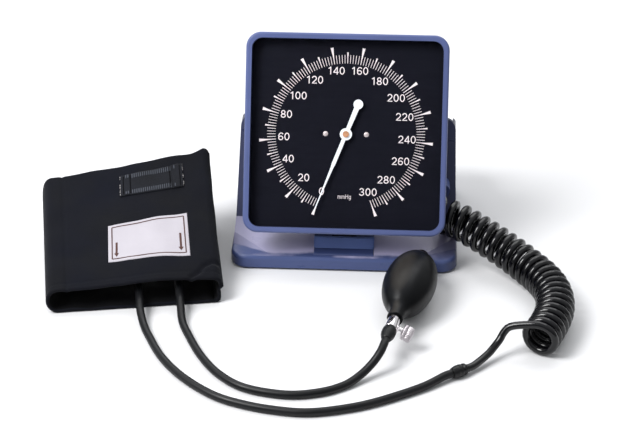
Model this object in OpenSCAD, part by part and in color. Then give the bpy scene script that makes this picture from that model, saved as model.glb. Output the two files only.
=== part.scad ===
// Aneroid sphygmomanometer: a square clock-size gauge head tilting on a desk and wall stand
// with a cuff basket, a coiled hose, an inflation bulb with its release valve, and a cuff.
// Frame: millimetres, +Z up, the gauge faces -Y, origin on the desk under the stand's centre.

/* [Head] */
// Outer width of the square bezel
bezel_w = 180; // [172:1:190]
// Outer height of the square bezel
bezel_h = 178; // [170:1:188]
// Depth of the bezel from its front lip to its rear edge
bezel_d = 14; // [13:0.5:18]
// Width of the rim seen from the front
rim_w = 5.2; // [4.8:0.1:6]
// Thickness of the bezel's side wall
bezel_wall = 3.8; // [3.4:0.1:4.2]
// Outer corner radius of the bezel
bezel_r = 13.5; // [11:0.5:15]
// Thickness of the front lip
lip_t = 1.5; // [1:0.1:2]
// Thickness of the clear window
window_t = 1.5; // [1:0.1:2]
// Depth of the spacer frame between the window and the dial
spacer_d = 6.2; // [5.8:0.1:7]
// Thickness of the dial plate
dial_t = 1; // [0.8:0.1:1.5]
// Lean of the head back from upright, in degrees
lean = 27; // [24:1:29]
// Outer radius of the round rear can
can_r = 72; // [70:1:76]
// Depth of the rear can behind the back plate
can_d = 34; // [32:1:36]
// Wall thickness of the rear can
can_wall = 2; // [1.6:0.1:2.6]

/* [Pointer and movement] */
// Length of the pointer's needle from the hub
needle_l = 75; // [60:1:77]
// Length of the pointer's tail from the hub to the counterweight
tail_l = 28.6; // [24:0.1:32]
// Diameter of the pointer's counterweight disc
weight_d = 8.6; // [7:0.1:10]
// Diameter of the pointer's hub disc
hub_d = 10.8; // [9:0.1:12]
// Distance of each dial screw from the centre
dial_screw_x = 18.2; // [16:0.1:22]
// Teeth on the pinion
pinion_teeth = 10; // [10:1:12]
// Teeth on the full circle that the sector is cut from
sector_teeth = 120; // [110:1:120]
// Gear module of the pinion and the sector
gear_m = 0.5; // [0.45:0.01:0.5]
// Radius of the pressure capsule
capsule_r = 27; // [22:1:30]

/* [Stand] */
// Width of the stand's foot
stand_w = 204; // [198:1:214]
// Depth of the stand's foot
stand_d = 166; // [163:1:175]
// Height of the foot's top edge above the desk
foot_h = 13.5; // [13:0.5:15]
// Corner radius of the foot
foot_r = 15; // [10:1:18]
// Height of the basket's front panel above the desk
basket_h = 103; // [96:1:106]
// Height of the basket's rear wall above the desk
rear_h = 70; // [64:1:82]
// Wall thickness of the stand
wall = 3; // [2.4:0.1:3.4]
// Rise of the glossy ramp, in degrees
ramp_a = 13; // [12:0.5:14]
// Lean of the basket's front panel back from upright, in degrees
panel_a = 33; // [31:1:36]
// How far each side wall leans in over the basket's height
side_draft = 2; // [1.6:0.1:4]
// Height of the rubber feet below the foot
feet_h = 1.5; // [1:0.1:2]
// Distance between the wall screws across the back
wall_screw_x = 120; // [100:1:140]
// Distance between the wall screws in height
wall_screw_z = 36; // [30:1:44]
// Diameter of the wall screw holes
wall_hole_d = 5; // [4:0.1:6]

/* [Hinge] */
// Width of the hinge block
block_w = 54; // [48:1:60]
// Depth of the hinge block
block_d = 18; // [17:0.5:19]
// Diameter of the hinge pin
hinge_pin_d = 5; // [4:0.1:6]
// Outer radius of the hinge barrel on the head
barrel_r = 5.2; // [5:0.1:5.4]
// Width of the hinge barrel
barrel_w = 22; // [18:1:26]

/* [Hoses] */
// Outer diameter of the plain hoses
hose_d = 7; // [6.5:0.1:7.2]
// Outer diameter of the coiled hose's tube
coil_tube_d = 6.6; // [6:0.1:6.8]
// Radius of the coil, to the middle of its tube
coil_r = 13.8; // [13:0.1:13.8]
// Number of turns of the coil
coil_turns = 24; // [18:1:24]
// Diameter of the short tube between the head and the stand
link_d = 6; // [5:0.1:6.4]

/* [Bulb and valve] */
// Greatest radius of the inflation bulb
bulb_r = 22.8; // [21:0.1:24]
// Length of the bulb's body without its neck
bulb_l = 96; // [90:1:100]
// Diameter of the valve body
valve_d = 11; // [10:0.1:12]
// Diameter of the release knob
knob_d = 12.8; // [11:0.1:14]
// Length of the release knob
knob_l = 9.5; // [8:0.1:11]

/* [Cuff] */
// Width of the flattened roll
cuff_w = 154; // [146:1:160]
// Depth of the roll, which is the cuff's own width
cuff_d = 136; // [130:1:142]
// Height of the roll at its flattened front end
cuff_front_h = 24; // [22:1:27]
// Height of the roll at its open rear end
cuff_rear_h = 78; // [66:1:84]
// Thickness of the cuff's padded wall
cuff_wall = 6; // [5:0.5:6.5]

/* [Hidden] */
$fn = 64;
gap = 0.3;
fit = 0.1;
run = 0.05;

blue = [0.33, 0.40, 0.64];
navy = [0.17, 0.19, 0.33];
black = [0.03, 0.03, 0.04];
rubber = [0.06, 0.06, 0.07];
brass = [0.80, 0.62, 0.36];
steel = [0.75, 0.75, 0.78];
white = [0.93, 0.92, 0.92];

// Head, in its own frame: x across, y back from the lip, z up from the bottom edge
hinge_back = 38.5;
hinge_drop = 9;
opening_r = 9.4;
bezel_edge = 2;
pocket_w = bezel_w - 2 * bezel_wall;
pocket_h = bezel_h - 2 * bezel_wall;
pocket_r = bezel_r - 0.5;
centre_z = bezel_h / 2;
window_y = lip_t + fit;
spacer_y = window_y + window_t + fit;
dial_y = spacer_y + spacer_d + fit;
ledge_y = dial_y + dial_t + fit;
back_plate_t = 2.5;
back_y = bezel_d + back_plate_t;
case_screw_in = bezel_wall * 0.5 + bezel_r * (1 - sqrt(0.5)) * 0.99;
plate_hole_r = can_r - 10;
can_flange_r = can_r + 6.5;
can_flange_t = 2;
can_screw_r = can_r + 3.2;
can_back_y = back_y + can_d;

// Movement, on the spindle's axis at the dial's centre
movement_r = plate_hole_r + 5;
movement_t = 2;
movement_y = back_y + fit;
bridge_y = movement_y + 13.6;
bridge_t = 2;
spindle_d = 2;
pinion_r = gear_m * pinion_teeth / 2;
sector_r = gear_m * sector_teeth / 2;
sector_drop = pinion_r + sector_r;
sector_y = movement_y + 6.6;
gear_t = 2;
pointer_y = spacer_y + 2.4;
pointer_t = 0.8;
zero_a = 21.25;
pillar_r = 38;
stud_x = 12;
rocker_y = sector_y + gear_t + 3.6;
rocker_z = 20;
spring_y = sector_y - 3;
spring_in = 3.2;
spring_out = 8.8;
capsule_t = 6.4;
capsule_y = bridge_y + bridge_t + 2.6;

// Stand
hinge_y = -stand_d / 2 + 23.5;
hinge_z = foot_h + 3.5;
front_y = -stand_d / 2;
foot_edge = 1.2;
foot_round = 3;
back_wall_y = stand_d / 2 - foot_edge;
ramp_y = front_y + 1.5;
ramp_z = foot_h - 1;
kink_y = hinge_y + 29.5;
kink_z = ramp_z + (kink_y - ramp_y) * tan(ramp_a);
hollow_back = kink_y - 2 * wall;
panel_top_y = kink_y + (basket_h - kink_z) * tan(panel_a);
rim_y = panel_top_y + wall / cos(panel_a) + 2;
fall_y = rim_y + 30;
basket_floor = foot_h + 2.5;
facet_x = stand_w / 2 - 44;
facet_turn = 25;
facet_a = 31;
plate_t = 2;
foot_screw_x = stand_w / 2 - 17;
foot_screw_y = stand_d / 2 - 16;
base_screw_d = 2;
base_screw_l = 8;
feet_d = 14;
feet_x = stand_w / 2 - 31;
feet_y = stand_d / 2 - 16;
wall_screw_mid = 46;

// Hinge block, in the head's frame
block_y = hinge_back - 8.5;
block_top = -hinge_drop + 5.5;
block_low = -hinge_drop - barrel_r - 1.8;
slot_w = barrel_w + 2;
slot_y = block_y + 3;
lug_front = hinge_back - 1.5;
lug_back = hinge_back + 5;
saddle_w = 40;
saddle_d = 18;
saddle_h = 9;

// Outlet for the coiled hose, on the basket's front panel
outlet_x = stand_w / 2 - 14;
outlet_z = 52.4;
outlet_y = kink_y + 2;
outlet_r = 5;
branch_y = outlet_y + 9;
branch_l = 9.5;

// Coil: middle line, in its own order from the stand to the loose end
coil_line = [[88, -44, 38.6], [101, -50, 37.6], [117, -60, 33.5], [135, -72, 28],
    [151, -84, 22.8], [165, -98, 19], [176, -114, 17.7], [183, -132, 17.7],
    [185.5, -150, 17.7], [184, -169, 17.7], [178, -190, 17.7], [169, -212, 17.7]];
coil_tail = [[144.8, -207.5, 26.5], [136.5, -212, 16.5], [128, -221, 9], [119.5, -230.5, 6.2]];
coupling_at = [105, -243, 5.6];
coupling_dir = [-0.829, -0.559, 0];
plug_l = 3.6;
socket_l = 10;
cuff_hose_line = [coupling_at + (socket_l + fit) * coupling_dir, coupling_at + 18 * coupling_dir,
    [70.6, -268.5, 4], [34.3, -290.5, 3.7], [7.4, -301.5, 3.7], [-19.4, -307.5, 3.7],
    [-44, -306, 3.7], [-71, -299.6, 3.7], [-97.5, -287.5, 3.7], [-125, -263.3, 3.7],
    [-146, -234.7, 3.7], [-161, -202.6, 3.8], [-167.4, -186.4, 5], [-171.8, -172, 8.8],
    [-173.6, -162.1, 11.6], [-175.3, -152.3, 13.2], [-176.8, -143.6, 15.6], [-178.2, -135.7, 18.8]];
bulb_hose_line = [[-143.8, -129.6, 18.8], [-142.4, -137.5, 15.6], [-140.8, -146.2, 13.2],
    [-139.1, -156, 11.6], [-137.4, -165.9, 8.8], [-134.8, -179.4, 5], [-129.4, -194.5, 3.8],
    [-114.5, -228.7, 3.7], [-96.5, -256.4, 3.7], [-73, -275.5, 3.7], [-39, -283.5, 3.7],
    [-12, -279, 3.7], [8, -268, 3.7], [21, -256.5, 6.5], [30.7, -248, 13], [36.8, -241.3, 19.5],
    [39.5, -234.7, 22.6], [40.95, -227.8, 23]];
nipple_y = can_back_y + 7;
nipple_drop = 12;
function head_at(y, z) = [0,
    hinge_y + (y - hinge_back) * cos(lean) + (z + hinge_drop) * sin(lean),
    hinge_z - (y - hinge_back) * sin(lean) + (z + hinge_drop) * cos(lean)];
link_line = [head_at(nipple_y, centre_z - nipple_drop - gap),
    head_at(nipple_y, centre_z - nipple_drop - gap - 6), [0, outlet_y + 17.5, 71],
    [5, outlet_y + 13.5, 62.5], [outlet_x - 70, outlet_y + 10.5, 56],
    [outlet_x - 52, branch_y, outlet_z + 0.5], [outlet_x - 34, branch_y, outlet_z],
    [outlet_x - 20, branch_y, outlet_z], [outlet_x - branch_l - fit, branch_y, outlet_z]];

// Bulb and valve lie along one line on the desk
bulb_at = [59.5, -140.5, bulb_r + 0.2];
bulb_turn = -12;
neck_r = 7;
neck_l = 11;
inlet_l = 9;
valve_l = 15;
valve_barb_l = 13;
knob_turn = 22;
stem_l = 8;

// Cuff
cuff_at = [-191, -86, 0];
cuff_turn = 10;
cuff_round = 9;
cuff_side_drop = 20;
bladder_w = 110;
bladder_d = 100;
bladder_t = 2.4;
port_x = [4, 39];
port_a = atan((cuff_rear_h - cuff_front_h) / cuff_d);
port_z = cuff_front_h - cuff_wall - gap - bladder_t
    + (cuff_d / 2 - bladder_d / 2) * tan(port_a) - hose_d / 2 * 1.02;
label_x = 14.5;
label_y = -18.8;
label_w = 72;
label_d = 43.6;
webbing_x = 21.3;
webbing_y = 46.8;
webbing_w = 58;
webbing_d = 23.5;

// One vector along another's direction, at unit length
function unit(v) = v / norm(v);

// Directions along a list of points
function directions(p) =
    [for (i = [0 : len(p) - 1]) unit(p[min(i + 1, len(p) - 1)] - p[max(i - 1, 0)])];

// Side vectors that follow the directions without twisting
function sides_of(t) =
    [for (i = 0, n = unit(cross(t[0], abs(t[0].z) < 0.9 ? [0, 0, 1] : [1, 0, 0]));
        i < len(t);
        i = i + 1, n = i < len(t) ? unit(n - (n * t[i]) * t[i]) : n) n];

// Point on a smooth curve through a list of points, at u counted in points
function smooth_at(p, u) =
    let (i = min(floor(u), len(p) - 2), f = u - i,
        a = i > 0 ? p[i - 1] : 2 * p[0] - p[1], b = p[i], c = p[i + 1],
        d = i + 2 < len(p) ? p[i + 2] : 2 * p[i + 1] - p[i])
    b + 0.5 * f * (c - a + f * (2 * a - 5 * b + 4 * c - d + f * (3 * (b - c) + d - a)));

function smooth(p, steps) =
    [for (i = [0 : (len(p) - 1) * steps]) smooth_at(p, i / steps)];

// Running lengths along a list of points, and the point at one length
function lengths(p) =
    [for (i = 0, s = 0; i < len(p); s = s + (i + 1 < len(p) ? norm(p[i + 1] - p[i]) : 0),
        i = i + 1) s];
function place_at(p, l, s) =
    let (k = [for (i = [0 : len(p) - 2]) if (l[i] <= s) i], i = k[len(k) - 1])
    p[i] + (p[i + 1] - p[i]) * (s - l[i]) / (l[i + 1] - l[i]);

// Closed tube of many sides along a list of points
module tube(path, r, sides = 8) {
    t = directions(path);
    n = sides_of(t);
    last = len(path) - 1;
    points = [for (i = [0 : last], k = [0 : sides - 1])
        let (a = 360 * k / sides)
        path[i] + r * (cos(a) * n[i] + sin(a) * cross(t[i], n[i]))];
    walls = [for (i = [0 : last - 1], k = [0 : sides - 1], h = [0, 1])
        let (a = i * sides + k, b = i * sides + (k + 1) % sides)
        h == 0 ? [a, b, b + sides] : [a, b + sides, a + sides]];
    start = [for (k = [1 : sides - 2]) [0, k + 1, k]];
    end = [for (k = [1 : sides - 2])
        [last * sides, last * sides + k, last * sides + k + 1]];
    polyhedron(points, [for (f = concat(walls, start, end)) [f[2], f[1], f[0]]]);
}

// Coil: advance per turn shrinks from the stretched start to the resting end
coil_dense = smooth(coil_line, 10);
coil_lengths = lengths(coil_dense);
coil_total = coil_lengths[len(coil_lengths) - 1];
coil_pitch_ratio = 1.22;
function coil_s(k) =
    let (u = k / coil_turns, q = (coil_pitch_ratio - 1) / (coil_pitch_ratio + 1))
    coil_total * (u * (1 + q) - q * u * u);
function coil_point(k) =
    let (s = min(max(coil_s(k), 0), coil_total - 0.01),
        c = place_at(coil_dense, coil_lengths, s),
        d = unit(place_at(coil_dense, coil_lengths, min(s + 6, coil_total - 0.01))
            - place_at(coil_dense, coil_lengths, max(s - 6, 0))),
        across = unit(cross([0, 0, 1], d)), up = cross(d, across))
    c + coil_r * (cos(360 * k) * up - sin(360 * k) * across);
coil_rings = [for (i = [0 : coil_turns * 8]) coil_point(i / 8)];
coil_lead = [[outlet_x, outlet_y - fit, outlet_z], [outlet_x, outlet_y - 7.1, outlet_z]];
coil_bend = concat([coil_rings[len(coil_rings) - 2], coil_rings[len(coil_rings) - 1]], coil_tail);
coil_path = concat(coil_lead, coil_rings,
    [for (i = [1 : 8]) smooth_at(coil_bend, 1 + i / 2)],
    [coupling_at - (plug_l + fit + 7) * coupling_dir, coupling_at - (plug_l + fit) * coupling_dir]);

// Least gap between the middle points of the coil's sides, a turn or more apart
coil_dots = [for (i = [0 : len(coil_path) - 2], f = [0, 0.5])
    coil_path[i] + f * (coil_path[i + 1] - coil_path[i])];
coil_gap = min([for (i = [0 : len(coil_dots) - 12], j = [i + 11 : len(coil_dots) - 1])
    norm(coil_dots[i] - coil_dots[j])]) - coil_tube_d;

// Flat square with round corners, from exact squares and circles
module rounded(w, h, r) {
    square([w - 2 * r, h], center = true);
    square([w, h - 2 * r], center = true);
    for (x = [-1, 1], y = [-1, 1]) translate([x * (w / 2 - r), y * (h / 2 - r)]) circle(r);
}

// Plate with round corners, a round top edge and a narrow chamfer below
module edged_plate(w, d, r, h, top, low) {
    for (x = [-1, 1], y = [-1, 1]) translate([x * (w / 2 - r), y * (d / 2 - r), 0])
        rotate_extrude() edge_outline(r, h, top, low);
    for (a = [0, 180]) rotate(a) {
        edge_prism(w - 2 * r, d / 2, h, top, low);
        rotate(90) edge_prism(d - 2 * r, w / 2, h, top, low);
    }
}

// The plate's section from its middle to an edge that is half away
module edge_outline(half, h, top, low) {
    polygon([[0, 0], [half - low, 0], [half, low],
        for (a = [0 : 22.5 : 90]) [half - top + top * cos(a), h - top + top * sin(a)], [0, h]]);
}

module edge_prism(length, half, h, top, low) {
    translate([length / 2, 0, 0]) rotate([90, 0, -90]) linear_extrude(length)
        edge_outline(half, h, top, low);
}

// Slab of that outline, standing in the head's frame from y = a to y = b
module slab(w, h, r, a, b) {
    translate([0, b, centre_z]) rotate([90, 0, 0]) linear_extrude(b - a) rounded(w, h, r);
}

// Rod along y between two depths
module rod(d, a, b) {
    translate([0, b, 0]) rotate([90, 0, 0]) cylinder(d = d, h = b - a);
}

// Rod along x between two places
module rod_x(d, a, b) {
    translate([a, 0, 0]) rotate([0, 90, 0]) cylinder(d = d, h = b - a);
}

// The head's frame, leaning about the hinge
module in_head() {
    translate([0, hinge_y, hinge_z]) rotate([-lean, 0, 0])
        translate([0, -hinge_back, hinge_drop]) children();
}

// The dial's centre line
module on_axis() {
    in_head() translate([0, 0, centre_z]) children();
}

// Screw with a domed head: head on the +Z side of z = 0
module screw(d, l, head_d, head_h) {
    translate([0, 0, -l]) cylinder(d = d, h = l + 0.01);
    difference() {
        intersection() {
            cylinder(d = head_d, h = head_h);
            translate([0, 0, head_h - head_d * 0.72]) sphere(d = head_d * 1.44);
        }
        for (a = [0, 90]) rotate(a)
            translate([-head_d * 0.3, -head_d * 0.06, head_h * 0.55])
                cube([head_d * 0.6, head_d * 0.12, head_h]);
    }
}

module bezel_frame() {
    color(blue) in_head() difference() {
        translate([0, bezel_d, centre_z]) rotate([90, 0, 0])
            edged_plate(bezel_w, bezel_h, bezel_r, bezel_d, bezel_edge, 0.4);
        slab(bezel_w - 2 * rim_w, bezel_h - 2 * rim_w, opening_r, -1, bezel_d + 1);
        slab(pocket_w, pocket_h, pocket_r, lip_t, bezel_d + 1);
        case_screw_holes(2, bezel_d - 8, bezel_d + 1);
    }
}

module case_screw_places() {
    for (x = [-1, 1], z = [-1, 1])
        translate([x * (bezel_w / 2 - case_screw_in), 0,
            centre_z + z * (bezel_h / 2 - case_screw_in)]) children();
}

module case_screw_holes(d, a, b) {
    case_screw_places() rod(d, a, b);
}

module window() {
    color([0.75, 0.8, 0.85, 0.3]) in_head()
        slab(pocket_w - 2 * fit, pocket_h - 2 * fit, pocket_r - fit,
            window_y, window_y + window_t);
}

module spacer_frame() {
    color(blue) in_head() difference() {
        slab(pocket_w - 2 * fit, pocket_h - 2 * fit, pocket_r - fit,
            spacer_y, spacer_y + spacer_d);
        slab(bezel_w - 2 * rim_w, bezel_h - 2 * rim_w, opening_r, spacer_y - 1, dial_y + 1);
    }
}

module dial_plate() {
    color(black) in_head() difference() {
        slab(pocket_w - 2 * fit, pocket_h - 2 * fit, pocket_r - fit, dial_y, dial_y + dial_t);
        translate([0, 0, centre_z]) {
            rod(spindle_d + 4, dial_y - 1, ledge_y + 1);
            for (x = [-1, 1]) translate([x * dial_screw_x, 0, 0]) rod(2.4, dial_y - 1, ledge_y + 1);
        }
    }
}

module dial_screws() {
    color(steel) on_axis() for (x = [-1, 1]) translate([x * dial_screw_x, dial_y, 0])
        rotate([90, 0, 0]) screw(2.2, movement_y + movement_t - dial_y - gap, 4.5, 1);
}

module back_plate() {
    color(blue) in_head() difference() {
        union() {
            slab(bezel_w - 2, bezel_h - 2, bezel_r - 1, bezel_d + fit, back_y);
            difference() {
                slab(pocket_w - 2 * fit, pocket_h - 2 * fit, pocket_r - fit,
                    ledge_y, bezel_d + 0.5);
                slab(pocket_w - 8, pocket_h - 8, pocket_r - 3, ledge_y - 1, bezel_d + 1);
            }
        }
        translate([0, 0, centre_z]) rod(2 * plate_hole_r, ledge_y - 1, back_y + 1);
        case_screw_holes(2.4, bezel_d - 1, back_y + 1);
        can_screw_places() rod(2.2, bezel_d - 1, back_y + 1);
        translate([0, 0, centre_z]) movement_screw_places() rod(2, bezel_d - 1, back_y + 1);
    }
}

module case_screws() {
    color(steel) in_head() case_screw_places()
        translate([0, back_y, 0]) rotate([-90, 0, 0]) screw(1.8, back_plate_t + 6, 4.2, 1.4);
}

module can_screw_places() {
    for (a = [45 : 90 : 315]) translate([can_screw_r * cos(a), 0, centre_z + can_screw_r * sin(a)])
        children();
}

// Turned from one outline: flange, side, rounded shoulder and flat back
module rear_can() {
    edge = 8;
    color(navy) in_head() difference() {
        translate([0, can_back_y, centre_z]) rotate([90, 0, 0]) rotate_extrude($fn = 96) {
            difference() {
                union() {
                    translate([0, edge]) square([can_r, can_d - edge]);
                    square([can_r - edge, can_d]);
                    translate([can_r - edge, edge]) circle(edge);
                    translate([0, can_d - can_flange_t]) square([can_flange_r, can_flange_t]);
                }
                translate([0, edge]) square([can_r - can_wall, can_d]);
                translate([0, can_wall]) square([can_r - edge, can_d]);
                translate([can_r - edge, edge]) circle(edge - can_wall);
                translate([-edge, -1]) square([edge, can_d + 2]);
            }
        }
        translate([0, 0, centre_z]) rod(9.2, can_back_y - 5, can_back_y + 1);
        can_screw_places() rod(2.4, back_y - 1, back_y + 4);
        for (x = [-1, 1]) bracket_screw(x) cylinder(d = 3.2, h = 12);
    }
}

module can_screws() {
    color(steel) in_head() can_screw_places()
        translate([0, back_y + can_flange_t, 0]) rotate([-90, 0, 0])
            screw(2, can_flange_t + back_plate_t - 0.2, 4, 1.5);
}

// Place of a screw that goes up through the bracket's saddle into the can
module bracket_screw(x) {
    translate([x * 14, back_y + 22, centre_z - can_r - 4]) children();
}

// Saddle under the can, with a lug and a barrel that turn in the hinge block
module tilt_bracket() {
    color(navy) in_head() difference() {
        union() {
            translate([-saddle_w / 2, back_y + 13, centre_z - can_r - 3.5])
                cube([saddle_w, saddle_d, saddle_h]);
            translate([-barrel_w / 2, lug_front, -hinge_drop])
                cube([barrel_w, lug_back - lug_front, centre_z - can_r + hinge_drop]);
            translate([0, hinge_back, -hinge_drop])
                rod_x(2 * barrel_r, -barrel_w / 2, barrel_w / 2);
        }
        translate([0, 0, centre_z]) rod(2 * can_r + 2 * run, back_y, can_back_y + 5);
        translate([0, hinge_back, -hinge_drop]) rod_x(hinge_pin_d + 2.6, -barrel_w, barrel_w);
        for (x = [-1, 1]) bracket_screw(x) translate([0, 0, -5]) cylinder(d = 3.2, h = 20);
    }
}

module bracket_screws() {
    color(steel) in_head() for (x = [-1, 1]) bracket_screw(x)
        translate([0, 0, 0.5 - run]) rotate([180, 0, 0]) screw(3, 7.5, 5.4, 1.6);
}

// Flanged bushes that the hinge pin runs in
module hinge_bushes() {
    color(white) in_head() translate([0, hinge_back, -hinge_drop]) for (s = [-1, 1])
        mirror([s < 0 ? 1 : 0, 0, 0]) difference() {
            union() {
                rod_x(hinge_pin_d + 2.6 - 2 * run, barrel_w / 2 - 6, barrel_w / 2);
                rod_x(2 * barrel_r - 0.6, barrel_w / 2 + run, barrel_w / 2 + 0.7);
                rod_x(hinge_pin_d + 2.6 - 2 * run, barrel_w / 2 - 1, barrel_w / 2 + 0.2);
            }
            rod_x(hinge_pin_d + 2 * run, 0, barrel_w);
        }
}

module hinge_pin() {
    color(steel) in_head() translate([0, hinge_back, -hinge_drop])
        rod_x(hinge_pin_d, -block_w / 2 + 3.2, block_w / 2 - 3.2);
}

// Outline of the hinge block: its top edges are stepped, its back runs on up to the ramp
module block_form(grow, back_h) {
    in_head() {
        translate([-block_w / 2 - grow, block_y + 1.2 - grow, block_low - grow])
            cube([block_w + 2 * grow, block_d - 1.2 + 2 * grow, block_top - block_low + grow]);
        translate([-block_w / 2 + 1.2, block_y - grow, block_low - grow])
            cube([block_w - 2.4, block_d + 2 * grow, block_top - block_low - 1.2 + grow]);
        translate([-block_w / 2 - grow, block_y + 4 - grow, block_low])
            cube([block_w + 2 * grow, block_d - 4 + 2 * grow, back_h]);
    }
}

// Trunnion block in the ramp: slot for the lug, and blind bores that hold the pin
module hinge_block() {
    color(blue) difference() {
        block_form(0, block_top - block_low);
        in_head() {
            translate([-slot_w / 2, slot_y, -hinge_drop - barrel_r - 0.6])
                cube([slot_w, lug_back + gap - slot_y, 60]);
            translate([0, hinge_back, -hinge_drop]) {
                rod_x(hinge_pin_d + 2 * run, -block_w / 2 + 3, block_w / 2 - 3);
                rod_x(2 * barrel_r + 2 * gap, -slot_w / 2, slot_w / 2);
            }
        }
    }
}

// Outline of the stand from the side
module side_outline() {
    polygon([[ramp_y, 0], [ramp_y, ramp_z], [kink_y, kink_z], [panel_top_y, basket_h],
        [rim_y, basket_h], [fall_y, rear_h], [back_wall_y, rear_h], [back_wall_y, 0]]);
}

// Front view: walls lean in, top corners are round
module front_outline() {
    half = stand_w / 2 - foot_edge;
    top = half - side_draft;
    r = 9;
    polygon([[-half, 0], [half, 0], [half, foot_h],
        for (a = [0 : 10 : 90]) [top - r + r * cos(a), basket_h - r + r * sin(a)],
        for (a = [90 : 10 : 180]) [-top + r + r * cos(a), basket_h - r + r * sin(a)],
        [-half, foot_h]]);
}

// Ramp and basket as one form, without the foot
module stand_body() {
    intersection() {
        translate([-stand_w / 2, 0, 0]) rotate([90, 0, 90]) linear_extrude(stand_w)
            side_outline();
        translate([0, stand_d, 0]) rotate([90, 0, 0]) linear_extrude(2 * stand_d)
            front_outline();
        translate([0, 0, -1]) linear_extrude(basket_h + 40)
            rounded(stand_w - 2 * foot_edge, stand_d - 2 * foot_edge, foot_r - foot_edge);
    }
}

// Steeper facet at each front corner of the ramp, from the foot's edge up to the panel
module corner_facet(side) {
    mirror([side < 0 ? 1 : 0, 0, 0]) translate([facet_x, ramp_y, foot_h])
        rotate([0, 0, facet_turn - 90]) rotate([0, facet_a, 0])
            translate([-40, -100, 0]) cube([140, 200, 60]);
}

// Foot: a plate with round corners and a round top edge
module foot() {
    translate([0, 0, feet_h])
        edged_plate(stand_w, stand_d, foot_r, foot_h - feet_h, foot_round, 1);
}

module wall_screw_holes() {
    for (x = [-1, 1], z = [-1, 1])
        translate([x * wall_screw_x / 2, back_wall_y - wall - 1,
            wall_screw_mid + z * wall_screw_z / 2])
            rotate([-90, 0, 0]) cylinder(d = wall_hole_d, h = wall + 2);
}

// Place of one of the four bosses under the foot
module foot_places(x, y) {
    for (i = [-1, 1], j = [-1, 1]) translate([i * x, j * y, 0]) children();
}

// One pad near each corner and one under the middle
module pad_places() {
    foot_places(feet_x, feet_y) children();
    children();
}

module stand_shell() {
    color(navy) difference() {
        union() {
            foot();
            difference() {
                stand_body();
                translate([0, 0, -30]) cube([400, 400, 60 + 2 * (feet_h + 3)], center = true);
                for (side = [-1, 1]) corner_facet(side);
            }
        }
        basket_space();
        foot_space();
        block_form(fit / 2, 40);
        wall_screw_holes();
        foot_places(foot_screw_x, foot_screw_y)
            cylinder(d = base_screw_d + 0.2, h = feet_h + base_screw_l + 0.5);
        outlet_hole();
    }
}

// Basket cavity, open at the top
module basket_space() {
    intersection() {
        stand_body_open();
        translate([-stand_w, kink_y, basket_floor]) cube([2 * stand_w, 2 * stand_d, 400]);
    }
}

module stand_body_open() {
    half = stand_w / 2 - foot_edge - wall;
    intersection() {
        translate([-stand_w / 2, 0, 0]) rotate([90, 0, 90]) linear_extrude(stand_w)
            polygon([[kink_y + wall / cos(panel_a) + (basket_floor - kink_z) * tan(panel_a),
                basket_floor],
                [panel_top_y + wall / cos(panel_a) + 30 * tan(panel_a), basket_h + 30],
                [back_wall_y - wall, basket_h + 30], [back_wall_y - wall, basket_floor]]);
        translate([0, stand_d, 0]) rotate([90, 0, 0]) linear_extrude(2 * stand_d)
            polygon([[-half, 0], [half, 0], [half - side_draft, basket_h],
                [half - side_draft, basket_h + 40], [-half + side_draft, basket_h + 40],
                [-half + side_draft, basket_h]]);
        linear_extrude(basket_h + 40)
            rounded(stand_w - 2 * foot_edge - 2 * wall, stand_d - 2 * foot_edge - 2 * wall,
                foot_r - foot_edge - wall);
    }
}

// Hollow under the foot and the ramp, with bosses left for the screws and the hinge well
module foot_space() {
    difference() {
        union() {
            translate([0, 0, -1]) linear_extrude(foot_h - wall + 1 - 0.5)
                rounded(stand_w - 2 * wall - 3, stand_d - 2 * wall - 3, foot_r - wall);
            translate([-foot_screw_x + 2, 0, 0]) rotate([90, 0, 90])
                linear_extrude(2 * foot_screw_x - 4)
                    polygon([[front_y + 12, 2], [hollow_back, 2],
                        [hollow_back, ramp_z + (hollow_back - ramp_y) * tan(ramp_a)
                            - wall * 1.2],
                        [front_y + 12, ramp_z + (front_y + 12 - ramp_y) * tan(ramp_a)
                            - wall * 1.2]]);
        }
        foot_places(foot_screw_x, foot_screw_y)
            translate([0, 0, feet_h + plate_t + fit]) cylinder(d = 8, h = 20);
        translate([-block_w / 2 - wall, hinge_y - 16, feet_h + plate_t + fit])
            cube([block_w + 2 * wall, 32, 40]);
    }
}

module base_plate() {
    color(black) difference() {
        translate([0, 0, feet_h]) linear_extrude(plate_t)
            rounded(stand_w - 2 * wall - 3.4, stand_d - 2 * wall - 3.4, foot_r - wall - 0.2);
        foot_places(foot_screw_x, foot_screw_y) cylinder(d = base_screw_d + 0.6, h = 20);
        pad_places() translate([0, 0, -1]) cylinder(d = feet_d + 0.4, h = feet_h + 1.8);
    }
}

module rubber_feet() {
    color(rubber) pad_places() rotate_extrude()
        polygon([[0, 0], [feet_d / 2 - 1.4, 0], [feet_d / 2, 1], [feet_d / 2, feet_h + 0.7],
            [0, feet_h + 0.7]]);
}

module base_screws() {
    color(steel) foot_places(foot_screw_x, foot_screw_y) translate([0, 0, feet_h - run])
        rotate([180, 0, 0]) screw(base_screw_d, base_screw_l, 2.2 * base_screw_d, 1.2);
}

module outlet_hole() {
    translate([outlet_x, outlet_y, outlet_z]) rotate([-90, 0, 0])
        cylinder(d = 6.4, h = outlet_reach + 4 * wall);
}

// Distance from the outlet's barb root to the panel, along y
outlet_reach = panel_y(outlet_z) - outlet_y;
function panel_y(z) = kink_y + (z - kink_z) * tan(panel_a);

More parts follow.
